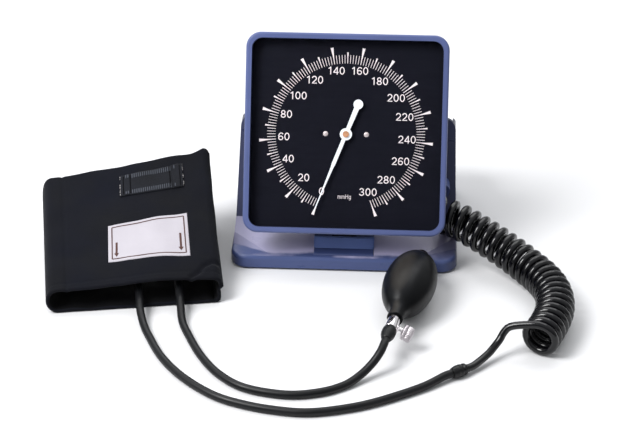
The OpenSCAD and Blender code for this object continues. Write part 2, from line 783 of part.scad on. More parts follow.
// Elbow union on the panel: barb forward for the coil, branch to the left for the link tube
module hose_outlet() {
    color(blue) difference() {
        union() {
            translate([outlet_x, branch_y, outlet_z]) rotate([90, 0, 0]) cylinder(d = 6.4, h = 9);
            difference() {
                translate([outlet_x, outlet_y + 5, outlet_z]) rotate([-90, 0, 0])
                    cylinder(r = outlet_r + 1.6, h = outlet_reach + 5);
                past_panel(-run);
            }
            translate([outlet_x, outlet_y + 5, outlet_z]) rotate([-90, 0, 0])
                cylinder(d = 6.2, h = outlet_reach + 6);
            translate([outlet_x, branch_y, outlet_z]) rotate([0, -90, 0])
                cylinder(d = 5.8, h = branch_l);
        }
        translate([outlet_x, outlet_y - 1, outlet_z]) rotate([-90, 0, 0]) cylinder(d = 2.6, h = 12);
        translate([outlet_x, branch_y, outlet_z]) rotate([0, -90, 0]) cylinder(d = 2.6, h = 12);
    }
}

// Everything behind the panel's front face moved back by an offset, or before it, as cutters
module past_panel(offset) {
    translate([0, kink_y, kink_z]) rotate([-panel_a, 0, 0])
        translate([-stand_w, offset, -stand_d]) cube([2 * stand_w, stand_d, 3 * stand_d]);
}

module before_panel(offset) {
    past_panel(offset - stand_d);
}

// Nut with its seat cut to the panel's slope
module outlet_nut() {
    at = panel_y(outlet_z) + wall / cos(panel_a);
    color(brass) difference() {
        translate([outlet_x, at - 6, outlet_z]) rotate([-90, 0, 0])
            cylinder(d = 11, h = 11, $fn = 6);
        translate([outlet_x, at - 8, outlet_z]) rotate([-90, 0, 0]) cylinder(d = 6.3, h = 20);
        before_panel(wall + run);
    }
}

module link_tube() {
    color(rubber) tube(smooth(link_line, 3), link_d / 2, 8);
}

// Spider plate that carries the movement on the back plate
module movement_plate() {
    color(brass) on_axis() difference() {
        union() {
            translate([0, movement_y + movement_t, 0]) rotate([90, 0, 0])
                linear_extrude(movement_t) difference() {
                    circle(movement_r);
                    for (a = [30 : 120 : 270]) rotate(a) intersection() {
                        difference() {
                            circle(plate_hole_r - 2);
                            circle(plate_hole_r - 22);
                        }
                        polygon([[0, 0], [200, -110], [200, 110]]);
                    }
                }
            for (x = [-1, 1]) translate([x * dial_screw_x, 0, 0]) rod(5, ledge_y, movement_y + 1);
            translate([spring_out + 0.15, 0, 0]) rod(1.6, movement_y + 1, spring_y - run);
        }
        rod(spindle_d + 2 * run, 0, 40);
        translate([0, 0, -sector_drop]) rod(2 + 2 * run, 0, 40);
        for (x = [-1, 1]) translate([x * dial_screw_x, 0, 0]) rod(2.4, 0, 40);
        movement_screw_places() rod(2.2, movement_y - 1, 40);
    }
}

// Three screws at the ends of the plate's arms
module movement_screw_places() {
    for (a = [90, 210, 330]) rotate([0, -a, 0]) translate([movement_r - 2.5, 0, 0]) children();
}

module movement_screws() {
    color(steel) on_axis() movement_screw_places()
        translate([0, movement_y + movement_t, 0]) rotate([-90, 0, 0]) screw(1.8, 3.6, 3.6, 1.2);
}

module pillar_places() {
    for (a = [90, 210, 330]) rotate([0, -a, 0]) translate([pillar_r, 0, 0]) children();
}

module movement_pillars() {
    color(brass) on_axis() pillar_places() rod(5, movement_y + movement_t, bridge_y);
}

// Plate behind the gears; the capsule is carried on its back
module capsule_bridge() {
    color(brass) on_axis() difference() {
        union() {
            translate([0, bridge_y + bridge_t, 0]) rotate([90, 0, 0]) linear_extrude(bridge_t)
                union() {
                    circle(sector_drop + 4);
                    for (a = [90, 210, 330]) rotate(a) translate([pillar_r, 0]) circle(5);
                }
            for (x = [-3.6, 20]) translate([x, rocker_y - 1.6, rocker_z - 2])
                cube([1.6, bridge_y + 1 - rocker_y + 1.6, 4]);
        }
        translate([0, rocker_y, rocker_z]) rod_x(1.6 + 2 * run, -5, 25);
        rod(spindle_d + 2 * run, 0, 60);
        translate([0, 0, -sector_drop]) rod(2 + 2 * run, 0, 60);
        translate([stud_x, 0, 0]) rod(4, 0, 60);
    }
}

// Pressure capsule: two corrugated diaphragms joined at the rim
module pressure_capsule() {
    waves = 4;
    half_t = capsule_t / 2;
    color(brass) on_axis() translate([0, capsule_y + half_t, 0]) rotate([90, 0, 0])
        rotate_extrude($fn = 72) polygon([[0, -half_t],
            for (i = [0 : 32]) let (f = i / 32)
                [capsule_r * f, -half_t * (1 - f * f * 0.75) - 0.45 * cos(360 * waves * f)],
            for (i = [32 : -1 : 0]) let (f = i / 32)
                [capsule_r * f, half_t * (1 - f * f * 0.75) + 0.45 * cos(360 * waves * f)]]);
}

// Fitting that carries the capsule on the can's back and takes the link tube
module pressure_nipple() {
    y0 = capsule_y + capsule_t + 0.45;
    color(brass) on_axis() difference() {
        union() {
            rod(9, y0 + fit, can_back_y + 2);
            rod(14, can_back_y - can_wall - 1.5, can_back_y - can_wall - fit);
            rod(13, can_back_y + fit, can_back_y + 2.4);
            rod(7, can_back_y, nipple_y + 3.5);
            translate([0, nipple_y, -nipple_drop]) cylinder(d = 5.6, h = nipple_drop);
            translate([0, nipple_y, 0]) sphere(d = 7);
        }
        translate([0, nipple_y, -nipple_drop - 8]) cylinder(d = 2.4, h = nipple_drop + 8);
        rod(2.4, y0 + 2, nipple_y);
    }
}

// Flat spiral that keeps the gears pressed together
module hairspring() {
    turns = 4;
    function spiral(a, o) = let (r = spring_in + (spring_out - spring_in) * a / (360 * turns) + o)
        [r * cos(a), r * sin(a)];
    color(steel) on_axis() translate([0, spring_y + 0.8, 0]) rotate([90, 0, 0])
        linear_extrude(0.8) polygon([
            for (a = [0 : 15 : 360 * turns]) spiral(a, 0),
            for (a = [360 * turns : -15 : 0]) spiral(a, 0.3)]);
}

// Half of the needle and tail: a thin tip, a shoulder a third of the way out, and a flared tail
needle_half = [[0.42, -needle_l], [0.6, -needle_l * 0.76], [1.25, -needle_l * 0.43],
    [1.7, -needle_l * 0.38], [1.7, 0], [2.4, tail_l]];

// Needle, tail and counterweight, pointing at zero
module pointer() {
    color(white) on_axis() rotate([0, zero_a, 0])
        translate([0, pointer_y + pointer_t, 0]) rotate([90, 0, 0]) linear_extrude(pointer_t)
            difference() {
                union() {
                    circle(d = hub_d);
                    polygon([for (s = [1, -1]) each s > 0
                        ? needle_half
                        : [for (i = [len(needle_half) - 1 : -1 : 0])
                            [-needle_half[i].x, needle_half[i].y]]]);
                    translate([0, tail_l]) circle(d = weight_d);
                }
                circle(d = spindle_d + 0.6);
            }
}

// Cap screw that holds the pointer on its spindle
module pointer_hub() {
    color(brass) on_axis() difference() {
        union() {
            rod(5.6, pointer_y - 1.1, pointer_y - run);
            rod(spindle_d + 0.5, pointer_y - 1, pointer_y + pointer_t + 0.4);
        }
        translate([-3, pointer_y - 1.5, -0.35]) cube([6, 0.8, 0.7]);
    }
}

// Gear outline with straight-sided teeth from one angle to another
module gear_outline(teeth, m, first, last) {
    r = m * teeth / 2;
    step = 360 / teeth;
    polygon([[0, 0], for (i = [first : last], q = [[-0.34, -1.15], [-0.14, 0.9], [0.14, 0.9],
        [0.34, -1.15]]) let (a = (i + q[0]) * step, d = r + q[1] * m) [d * cos(a), d * sin(a)]]);
}

module spindle() {
    color(steel) on_axis() {
        rod(spindle_d, pointer_y + pointer_t + 0.5, bridge_y + bridge_t + 1.5);
        rod(2 * (spring_in - run), spring_y - 0.1, spring_y + 0.9);
        translate([0, sector_y + gear_t + 1, 0]) rotate([90, 0, 0]) linear_extrude(gear_t + 2)
            intersection() {
                rotate(90) gear_outline(pinion_teeth, gear_m, 0, pinion_teeth - 1);
                circle(gear_m * (pinion_teeth / 2 + 0.9));
            }
    }
}

// Toothed sector on its own arbor below the spindle
module sector_gear() {
    reach = 16;
    span = reach * 360 / sector_teeth;
    color(brass) on_axis() translate([0, 0, -sector_drop]) {
        translate([0, sector_y + gear_t, 0]) rotate([90, 0, 0]) linear_extrude(gear_t) difference() {
            union() {
                rotate(90 - span) difference() {
                    rotate(span + 0.5 * 360 / sector_teeth)
                        gear_outline(sector_teeth, gear_m, -reach + 3, 2);
                    circle(sector_r - 5);
                }
                rotate(90) polygon([[0, -3], [sector_r - 4, -9], [sector_r - 4, 1.6], [0, 3]]);
                circle(4);
            }
            circle(1);
        }
        rod(2, movement_y, bridge_y + bridge_t);
    }
}

// Cross shaft that turns the capsule's push into the sector's swing
module rocking_shaft() {
    color(steel) on_axis() {
        translate([0, rocker_y, rocker_z]) rod_x(1.6, -4, 22);
        translate([stud_x - 1, rocker_y - 0.8, -1]) cube([2, 1.6, rocker_z + 1]);
    }
}

module capsule_stud() {
    color(steel) on_axis() translate([stud_x, 0, 0])
        rod(3, rocker_y + 0.8 + 0.15, capsule_y + 0.1);
}

// Coiled hose: straight end on the outlet, all its turns, then the tail to the coupling
module coil_hose() {
    echo(least_gap_between_turns = coil_gap);
    color(black) tube(coil_path, coil_tube_d / 2, 6);
}

// The coupling's line on the desk
module on_coupling() {
    translate(coupling_at) rotate([0, 90, atan2(coupling_dir.y, coupling_dir.x)]) children();
}

module coupling_plug() {
    color(black) on_coupling() rotate_extrude($fn = 32)
        polygon([[1.3, -plug_l], [4.4, -plug_l], [5, -2.4], [5, -1], [4.3, -0.6], [4.3, -fit],
            [1.3, -fit]]);
}

module coupling_socket() {
    color(black) on_coupling() rotate_extrude($fn = 32)
        polygon([[1.3, fit], [4.6, fit], [5.4, 1], [5.4, 6], [4.2, socket_l], [1.3, socket_l]]);
}

module cuff_hose() {
    color(rubber) tube(smooth(cuff_hose_line, 3), hose_d / 2, 8);
}

module bulb_hose() {
    color(rubber) tube(smooth(bulb_hose_line, 3), hose_d / 2, 8);
}

// The bulb's own line: x runs from the neck to the inlet valve
module on_bulb() {
    translate(bulb_at) rotate([0, 0, 90 + bulb_turn]) rotate([0, 90, 0]) children();
}

// Egg profile, fuller towards the inlet valve
function egg(f) = let (g = pow(f, 0.94)) bulb_r * sqrt(4 * g * (1 - g));

module bulb() {
    color(rubber) on_bulb() difference() {
        rotate_extrude($fn = 48) polygon([[0, -bulb_l / 2 - neck_l + 1],
            [neck_r, -bulb_l / 2 - neck_l + 1], [neck_r, -bulb_l / 2 + 5],
            for (i = [3 : 23]) let (f = i / 24) if (egg(f) > neck_r || f > 0.5)
                [egg(f), bulb_l * (f - 0.5)],
            [0, bulb_l / 2]]);
        rotate_extrude($fn = 48) polygon([[0, -bulb_l / 2 - neck_l],
            [neck_r - 2.2, -bulb_l / 2 - neck_l], [neck_r - 2.2, -bulb_l / 2 + 6],
            for (i = [3 : 22]) let (f = i / 24) if (egg(f) > neck_r + 2 || f > 0.5)
                [egg(f) - 2.4, bulb_l * (f - 0.5)],
            [4, bulb_l / 2 - 5], [0, bulb_l / 2 - 5]]);
        translate([0, 0, bulb_l / 2 - 8]) cylinder(d = 6, h = 20);
    }
}

module bulb_inlet_valve() {
    color(rubber) on_bulb() translate([0, 0, bulb_l / 2]) difference() {
        union() {
            translate([0, 0, -5]) cylinder(d = 5.8, h = 8);
            translate([0, 0, 0.2]) cylinder(d1 = 9, d2 = 8, h = inlet_l - 3);
        }
        translate([0, 0, -6]) cylinder(d = 2.4, h = 30);
        for (a = [0 : 60 : 300]) rotate(a) translate([5, 0, 1]) cylinder(d = 1.6, h = 20);
    }
}

// Chrome body with a barb each side and a threaded side stem
module valve_body() {
    color(steel) on_bulb() translate([0, 0, -bulb_l / 2 - neck_l]) difference() {
        union() {
            translate([0, 0, -valve_l]) cylinder(d = valve_d, h = valve_l + 0.8);
            translate([0, 0, 0.6]) cylinder(d = 2 * neck_r - 4.4 - 0.1, h = 9);
            translate([0, 0, -valve_l - valve_barb_l]) cylinder(d = 4.2, h = valve_barb_l + 0.5);
            translate([0, 0, -valve_l * 0.55]) rotate([90, 0, knob_turn])
                cylinder(d = 6, h = valve_d / 2 + 3);
        }
        translate([0, 0, -60]) cylinder(d = 2.2, h = 80);
        translate([0, 0, -valve_l * 0.55]) rotate([90, 0, knob_turn]) cylinder(d = 3.4, h = 20);
    }
}

module on_knob() {
    on_bulb() translate([0, 0, -bulb_l / 2 - neck_l - valve_l * 0.55]) rotate([90, 0, knob_turn])
        children();
}

module valve_knob() {
    color(steel) on_knob() translate([0, 0, valve_d / 2 + stem_l - 1]) difference() {
        union() {
            cylinder(d = knob_d - 1, h = knob_l);
            for (a = [0 : 20 : 340]) rotate(a) translate([knob_d / 2 - 0.9, 0, 0.8])
                cylinder(d = 1.7, h = knob_l - 1.6);
        }
        translate([0, 0, -1]) cylinder(d = 3, h = knob_l - 1);
    }
}

module valve_needle() {
    color(steel) on_knob() {
        translate([0, 0, 2.4]) cylinder(d1 = 1, d2 = 3, h = 2);
        translate([0, 0, 4.4]) cylinder(d = 3.4 - 2 * run, h = valve_d / 2 - 2);
        translate([0, 0, 4.3]) cylinder(d = 2.9, h = valve_d / 2 + stem_l + knob_l - 8);
    }
}

// Swollen end of the bulb's hose over the valve's barb
module hose_sleeve() {
    color(rubber) on_bulb() translate([0, 0, -bulb_l / 2 - neck_l - valve_l - fit])
        rotate([180, 0, 0]) rotate_extrude($fn = 32)
            polygon([[2.2, 0], [5.6, 0], [6, 2], [6, 8], [3.6, 15], [2.2, 15]]);
}

// Cuff, in its own frame: x across, y back from the middle, wedge from slit to open roll
module in_cuff() {
    translate(cuff_at) rotate([0, 0, cuff_turn]) children();
}

// One end of the roll: a bar with round corners, lower on its left side
module cuff_end(y, h, drop, inset) {
    r = cuff_round - inset * 0.6;
    low = inset;
    half = cuff_w / 2 - inset;
    for (x = [-1, 1], z = [0, 1]) {
        top = (x < 0 ? h - drop : h) - inset;
        translate([x * (half - r), y, z == 0 ? low + r : max(top - r, low + r + 0.1)])
            rotate([90, 0, 0]) cylinder(r = r, h = 0.5, center = true, $fn = 16);
    }
}

module cuff_form(inset) {
    hull() {
        cuff_end(-cuff_d / 2 + (inset > 0 ? -1 : 0), cuff_front_h, 1, inset);
        cuff_end(cuff_d / 2 + (inset > 0 ? 1 : 0), cuff_rear_h, cuff_side_drop, inset);
    }
}

module cuff_sleeve() {
    color(navy) in_cuff() difference() {
        cuff_form(0);
        cuff_form(cuff_wall);
    }
}

// Upright prism over part of the cuff, for the thin pieces that follow its top
module over_cuff(x, y, w, d, low) {
    translate([x - w / 2, y - d / 2, low]) cube([w, d, 2 * cuff_rear_h]);
}

// Air bag against the inside of the top wall, with a tapered port for each hose
module cuff_bladder() {
    color(rubber) in_cuff() {
        difference() {
            intersection() {
                cuff_form(cuff_wall + gap);
                over_cuff(0, 0, bladder_w, bladder_d, cuff_front_h / 2 + 3);
            }
            cuff_form(cuff_wall + gap + bladder_t);
        }
        for (x = port_x) translate([x, -bladder_d / 2 - 1, port_z]) rotate([port_a, 0, 0])
            rotate([-90, 0, 0]) cylinder(d = hose_d, h = 12);
    }
}

module cuff_label() {
    color(white) in_cuff() difference() {
        intersection() {
            cuff_form(-0.6);
            over_cuff(label_x, label_y, label_w, label_d, 10);
        }
        cuff_form(0);
    }
}

module cuff_webbing() {
    color(black) in_cuff() difference() {
        intersection() {
            cuff_form(-1.6);
            over_cuff(webbing_x, webbing_y, webbing_w, webbing_d, 10);
        }
        cuff_form(0);
    }
}

stand_shell();
base_plate();
rubber_feet();
base_screws();
hinge_block();
hinge_pin();
hose_outlet();
outlet_nut();
link_tube();
bezel_frame();
window();
spacer_frame();
dial_plate();
dial_screws();
back_plate();
case_screws();
rear_can();
can_screws();
tilt_bracket();
bracket_screws();
hinge_bushes();
movement_plate();
movement_screws();
movement_pillars();
capsule_bridge();
pressure_capsule();
pressure_nipple();
hairspring();
pointer();
pointer_hub();
spindle();
sector_gear();
rocking_shaft();
capsule_stud();
coil_hose();
coupling_plug();
coupling_socket();
cuff_hose();
bulb_hose();
hose_sleeve();
bulb();
bulb_inlet_valve();
valve_body();
valve_knob();
valve_needle();
cuff_sleeve();
cuff_bladder();
cuff_label();
cuff_webbing();
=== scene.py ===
"""Looks of a square clock-size gauge head on a desk and wall stand, with hoses, bulb and cuff."""

import math
import random

import bmesh
import bpy
from mathutils import Matrix, Vector, noise


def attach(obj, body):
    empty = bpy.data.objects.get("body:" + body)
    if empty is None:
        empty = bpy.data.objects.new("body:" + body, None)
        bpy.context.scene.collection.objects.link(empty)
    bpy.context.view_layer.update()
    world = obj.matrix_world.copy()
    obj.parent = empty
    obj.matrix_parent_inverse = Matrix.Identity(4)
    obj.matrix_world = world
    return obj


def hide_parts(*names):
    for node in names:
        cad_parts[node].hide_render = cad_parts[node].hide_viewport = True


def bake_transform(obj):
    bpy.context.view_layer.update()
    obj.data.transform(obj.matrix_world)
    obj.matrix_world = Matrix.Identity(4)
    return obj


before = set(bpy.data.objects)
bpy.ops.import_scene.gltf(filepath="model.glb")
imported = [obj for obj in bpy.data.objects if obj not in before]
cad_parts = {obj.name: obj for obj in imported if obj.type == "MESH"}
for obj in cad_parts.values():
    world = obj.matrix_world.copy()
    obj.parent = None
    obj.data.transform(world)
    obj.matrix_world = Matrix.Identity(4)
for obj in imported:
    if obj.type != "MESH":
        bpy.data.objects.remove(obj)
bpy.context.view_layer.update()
random.seed(7)

MM = 0.001
UP = Vector((0, 0, 1))
# Points this close, in m, become one. Turned points on the axis start as far from it, in mm.
SAME_POINT = 1e-7
ON_AXIS = 0.0001

# Signs of a rectangle's corners, in order around it
CORNERS = ((-1, -1), (1, -1), (1, 1), (-1, 1))

# ---------------------------------------------------------------- frames of the CAD model, in mm


def turn(angle, axis):
    return Matrix.Rotation(math.radians(angle), 4, axis)


def shift(x, y, z):
    return Matrix.Translation((x, y, z))


# The head leans back about the hinge pin. AXIS is the same frame at the middle of the dial.
LEAN = 27
HEAD = shift(0, -59.5, 17) @ turn(-LEAN, "X") @ shift(0, -38.5, 9)
AXIS = HEAD @ shift(0, 0, 89)
# The z axes of BULB and COUPLING run along the bulb to its far end and along the hose to the cuff
BULB = shift(59.5, -140.5, 23) @ turn(78, "Z") @ turn(90, "Y")
COUPLING_AT = Vector((105, -243, 5.6))
COUPLING_DIR = Vector((-0.829, -0.559, 0))
COUPLING = (
    Matrix.Translation(COUPLING_AT)
    @ turn(math.degrees(math.atan2(COUPLING_DIR.y, COUPLING_DIR.x)), "Z")
    @ turn(90, "Y")
)
CUFF_TURN = 10
CUFF = shift(-191, -86, 0) @ turn(CUFF_TURN, "Z")


# ---------------------------------------------------------------- meshes


def new_object(name, data):
    obj = bpy.data.objects.new(name, data)
    bpy.context.scene.collection.objects.link(obj)
    return obj


def piece(name, verts, faces, place=None, *, mat, smooth=True, body="stand"):
    """A mesh from points in mm, set into a frame. It rides on a body, unless that is None."""
    if place is not None:
        verts = [place @ Vector(v) for v in verts]
    mesh = bpy.data.meshes.new(name)
    mesh.from_pydata([Vector(v) * MM for v in verts], [], faces)
    mesh.validate()
    obj = new_object(name, mesh)
    bm = bmesh.new()
    bm.from_mesh(mesh)
    bmesh.ops.remove_doubles(bm, verts=bm.verts, dist=SAME_POINT)
    bmesh.ops.recalc_face_normals(bm, faces=bm.faces)
    bm.to_mesh(mesh)
    bm.free()
    for face in mesh.polygons:
        face.use_smooth = smooth
    mesh.materials.append(mat)
    if body is not None:
        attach(obj, body)
    return obj


def ring_faces(i, j, sides):
    """Quads between rings i and j of a mesh whose points are listed ring by ring."""
    around = [(k, (k + 1) % sides) for k in range(sides)]
    return [(i * sides + k, i * sides + m, j * sides + m, j * sides + k) for k, m in around]


def loft_faces(rings, sides, wrap=False):
    """Faces between rings of equally many points, capped at both ends or wrapped to the first."""
    faces = []
    for i in range(rings if wrap else rings - 1):
        faces += ring_faces(i, (i + 1) % rings, sides)
    if not wrap:
        faces.append(tuple(range(sides))[::-1])
        faces.append(tuple((rings - 1) * sides + k for k in range(sides)))
    return faces


def revolve(name, profile, place, sides, wobble=None, **kw):
    """A profile of (radius, height) turned about z. It starts on the axis or closes on itself."""
    verts, faces = [], []
    for r, z in profile:
        for k in range(sides):
            a = 2 * math.pi * k / sides
            out = max(r, ON_AXIS) + (wobble(a, z) if wobble else 0)
            verts.append((out * math.cos(a), out * math.sin(a), z))
    n = len(profile)
    closed = profile[0][0] > 0
    for i in range(n if closed else n - 1):
        faces += ring_faces(i, (i + 1) % n, sides)
    return piece(name, verts, faces, place, **kw)


def smooth_at(p, u):
    """Point u steps along the smooth curve through the points p."""
    i = min(int(u), len(p) - 2)
    f = u - i
    a = p[i - 1] if i > 0 else 2 * p[0] - p[1]
    b, c = p[i], p[i + 1]
    d = p[i + 2] if i + 2 < len(p) else 2 * p[i + 1] - p[i]
    return b + 0.5 * f * (c - a + f * (2 * a - 5 * b + 4 * c - d + f * (3 * (b - c) + d - a)))


def smooth(points, steps):
    p = [Vector(q) for q in points]
    return [smooth_at(p, i / steps) for i in range((len(p) - 1) * steps + 1)]


def tube(name, path, radius, sides, **kw):
    """A round hose along a path, whose rings turn as little as possible from one to the next."""
    ends = len(path) - 1
    t = [(path[min(i + 1, ends)] - path[max(i - 1, 0)]).normalized() for i in range(len(path))]
    n = t[0].cross(UP).normalized()
    verts = []
    for p, along in zip(path, t):
        n = (n - n.dot(along) * along).normalized()
        b = along.cross(n)
        for k in range(sides):
            a = 2 * math.pi * k / sides
            verts.append(p + radius * (math.cos(a) * n + math.sin(a) * b))
    return piece(name, verts, loft_faces(len(path), sides), **kw)


def ribbon(line, width):
    """Quads along a line of points, mitred at its bends up to a limit."""
    sides = []
    for i, (x, y) in enumerate(line):
        a, b = line[max(i - 1, 0)], line[min(i + 1, len(line) - 1)]
        if 0 < i < len(line) - 1:
            u = Vector((x - a[0], y - a[1])).normalized()
            w = Vector((b[0] - x, b[1] - y)).normalized()
            m = (u + w).normalized()
            mitre = 1 / max(m.dot(u), 0.625)
        else:
            m, mitre = Vector((b[0] - a[0], b[1] - a[1])).normalized(), 1
        dx, dy = m.y * width / 2 * mitre, m.x * width / 2 * mitre
        sides.append(((x - dx, y + dy), (x + dx, y - dy)))
    return [[a[0], b[0], b[1], a[1]] for a, b in zip(sides, sides[1:])]


# ---------------------------------------------------------------- camera

# The camera was solved from the photograph, its focal length in the photograph's pixels
CAMERA_AT = Vector((0.0557, -1.6388, 0.9503))
CAMERA_AZIMUTH, CAMERA_ELEVATION = 3, 30
FOCAL_PX, PHOTO_PX, SENSOR_MM = 2025, 629, 36


def aim(obj, direction):
    obj.rotation_mode = "QUATERNION"
    obj.rotation_quaternion = direction.to_track_quat("-Z", "Y")


def make_camera():
    az, el = math.radians(CAMERA_AZIMUTH), math.radians(CAMERA_ELEVATION)
    back = Vector((math.sin(az) * math.cos(el), -math.cos(az) * math.cos(el), math.sin(el)))
    data = bpy.data.cameras.new("camera")
    data.sensor_width = SENSOR_MM
    data.lens = FOCAL_PX / PHOTO_PX * SENSOR_MM
    data.clip_end = 50
    cam = new_object("camera", data)
    cam.location = CAMERA_AT
    aim(cam, -back)
    bpy.context.scene.camera = cam
    bpy.context.scene.view_settings.view_transform = "Standard"


make_camera()


# ---------------------------------------------------------------- materials


def nodes_of(name):
    """A new material, its tree and its main shader."""
    mat = bpy.data.materials.new(name)
    mat.use_nodes = True
    tree = mat.node_tree
    return mat, tree, tree.nodes["Principled BSDF"]


def add(tree, kind, **values):
    """A new node with values for its sockets or its own settings."""
    node = tree.nodes.new(kind)
    for key, value in values.items():
        if key in node.inputs:
            node.inputs[key].default_value = value
        else:
            setattr(node, key, value)
    return node


def put(tree, value, socket):
    """Sets a socket to a number or links it to another node's output."""
    if isinstance(value, (int, float)):
        socket.default_value = value
    else:
        tree.links.new(value, socket)


def coords(tree, rot=(0, 0, 0), scale=(1, 1, 1)):
    """The object's own coordinates, in m, turned and scaled."""
    tc = add(tree, "ShaderNodeTexCoord")
    mp = add(tree, "ShaderNodeMapping", Rotation=[math.radians(a) for a in rot], Scale=scale)
    tree.links.new(tc.outputs["Object"], mp.inputs["Vector"])
    return mp.outputs["Vector"]


def split(tree, vector):
    parts = add(tree, "ShaderNodeSeparateXYZ")
    tree.links.new(vector, parts.inputs[0])
    return parts.outputs


def noise_tex(tree, vec, scale, detail):
    n = add(tree, "ShaderNodeTexNoise", Scale=scale, Detail=detail, Roughness=0.55)
    tree.links.new(vec, n.inputs["Vector"])
    return n.outputs["Fac"]


def ramp(tree, fac, stops):
    """Colours at positions from 0 to 1, blended in between."""
    r = add(tree, "ShaderNodeValToRGB")
    e = r.color_ramp.elements
    while len(e) < len(stops):
        e.new(0.5)
    for el, (pos, col) in zip(e, stops):
        el.position = pos
        el.color = (*col, 1)
    tree.links.new(fac, r.inputs["Fac"])
    return r.outputs["Color"]


def spread(tree, fac, low, high, a=0.3, b=0.7):
    """Maps what runs from a to b onto low to high."""
    ends = {"From Min": a, "From Max": b, "To Min": low, "To Max": high}
    m = add(tree, "ShaderNodeMapRange", **ends)
    tree.links.new(fac, m.inputs["Value"])
    return m.outputs["Result"]


def bump(tree, bsdf, height, strength, distance):
    b = add(tree, "ShaderNodeBump", Strength=strength, Distance=distance)
    tree.links.new(height, b.inputs["Height"])
    tree.links.new(b.outputs["Normal"], bsdf.inputs["Normal"])


def combine(tree, op, a, b=0):
    m = add(tree, "ShaderNodeMath", operation=op)
    put(tree, a, m.inputs[0])
    put(tree, b, m.inputs[1])
    return m.outputs[0]


def plus(tree, a, b, share):
    """a and a share of b."""
    return combine(tree, "ADD", a, combine(tree, "MULTIPLY", b, share))


def mix_colors(tree, fac, a, b, blend="MIX"):
    m = add(tree, "ShaderNodeMixRGB", blend_type=blend)
    for value, name in ((fac, "Fac"), (a, "Color1"), (b, "Color2")):
        put(tree, value, m.inputs[name])
    return m.outputs["Color"]


def srgb(r, g, b):
    def one(c):
        c /= 255
        return c / 12.92 if c <= 0.04045 else ((c + 0.055) / 1.055) ** 2.4

    return (one(r), one(g), one(b))


def scaled(col, k):
    return tuple(min(1, c * k) for c in col)


# The usual grain of moulded plastic: the scale of its noise, and its depth in m
GRAIN, GRAIN_DEPTH = 900, 0.00003


def moulded(tree, bsdf, v, glossiest, dullest, grain, depth, spec):
    """The surface of moulded plastic: uneven gloss, a fine grain and a few long soft scuffs."""
    smear = noise_tex(tree, coords(tree, scale=(1, 1, 6)), 40, 4)
    tree.links.new(spread(tree, smear, glossiest, dullest), bsdf.inputs["Roughness"])
    bump(tree, bsdf, noise_tex(tree, v, grain, 2), 0.25, depth)
    bsdf.inputs["Specular IOR Level"].default_value = spec


def plastic(name, col, rough, grain=GRAIN, depth=GRAIN_DEPTH, shade=0.08, spec=0.4, metallic=0):
    """Moulded plastic or paint with faint mottling."""
    mat, tree, bsdf = nodes_of(name)
    v = coords(tree)
    stops = [(0.3, scaled(col, 1 - shade)), (0.7, scaled(col, 1 + shade))]
    tree.links.new(ramp(tree, noise_tex(tree, v, 18, 3), stops), bsdf.inputs["Base Color"])
    moulded(tree, bsdf, v, rough * 0.8, rough * 1.25, grain, depth, spec)
    bsdf.inputs["Metallic"].default_value = metallic
    return mat


def metal(name, col, rough):
    """Metal with a slightly uneven finish."""
    mat, tree, bsdf = nodes_of(name)
    n = noise_tex(tree, coords(tree), 120, 4)
    shades = ramp(tree, n, [(0.25, scaled(col, 0.88)), (0.7, col)])
    tree.links.new(shades, bsdf.inputs["Base Color"])
    tree.links.new(spread(tree, n, rough * 0.75, rough * 1.3), bsdf.inputs["Roughness"])
    bsdf.inputs["Metallic"].default_value = 1
    bump(tree, bsdf, n, 0.15, 0.00002)
    return mat


def rubber(name, col, rough, grain=700, depth=0.00008, spec=0.3):
    """Blotchy, finely pitted rubber."""
    mat, tree, bsdf = nodes_of(name)
    v = coords(tree)
    stops = [(0.3, scaled(col, 0.8)), (0.75, scaled(col, 1.25))]
    tree.links.new(ramp(tree, noise_tex(tree, v, 30, 4), stops), bsdf.inputs["Base Color"])
    gloss = spread(tree, noise_tex(tree, v, 90, 3), rough * 0.85, rough * 1.2)
    tree.links.new(gloss, bsdf.inputs["Roughness"])
    bump(tree, bsdf, noise_tex(tree, v, grain, 3), 0.35, depth)
    bsdf.inputs["Specular IOR Level"].default_value = spec
    return mat


def stand_plastic():
    """The stand's plastic: blue foot, painted shade on the basket above it and on faces that look
    sideways, and a painted reflection on faces that look up.
    """
    mat, tree, bsdf = nodes_of("stand_plastic")
    v = coords(tree)
    normal = split(tree, add(tree, "ShaderNodeNewGeometry").outputs["Normal"])
    place = split(tree, v)
    wide = noise_tex(tree, v, 22, 4)
    height = plus(tree, place["Z"], wide, 0.003)
    # Painted shade: the basket and panel above the foot are darker, as if in the head's shadow.
    above_foot = spread(tree, height, 0, 1, 0.013, 0.021)
    body = ramp(tree, above_foot, [(0, srgb(68, 81, 126)), (1, srgb(44, 49, 78))])
    # Painted shade on faces that look sideways, such as the foot's rounded corners.
    sideways = combine(tree, "ABSOLUTE", normal["X"])
    side_shade = ramp(tree, sideways, [(0.12, (1, 1, 1)), (0.75, (0.42, 0.42, 0.5))])
    body = mix_colors(tree, 1, body, side_shade, "MULTIPLY")

    # A painted reflection, palest in the middle of the ramp. It lies on what looks up between two
    # heights.
    off_middle = spread(tree, combine(tree, "ABSOLUTE", place["X"]), 1, 0, 0.035, 0.092)
    pale = [(0.05, srgb(118, 116, 144)), (0.4, srgb(146, 143, 174)), (1, srgb(182, 178, 210))]
    painted_reflection = ramp(tree, plus(tree, off_middle, wide, 0.12), pale)
    looks_up = spread(tree, plus(tree, normal["Z"], wide, 0.06), 0, 1, 0.72, 0.95)
    above = spread(tree, height, 0, 1, 0.0148, 0.0156)
    below = spread(tree, height, 1, 0, 0.05, 0.06)
    reflection_mask = combine(tree, "MULTIPLY", looks_up, combine(tree, "MULTIPLY", above, below))
    tree.links.new(mix_colors(tree, reflection_mask, body, painted_reflection), bsdf.inputs["Base Color"])
    moulded(tree, bsdf, v, 0.26, 0.42, GRAIN, GRAIN_DEPTH, 0.4)
    return mat


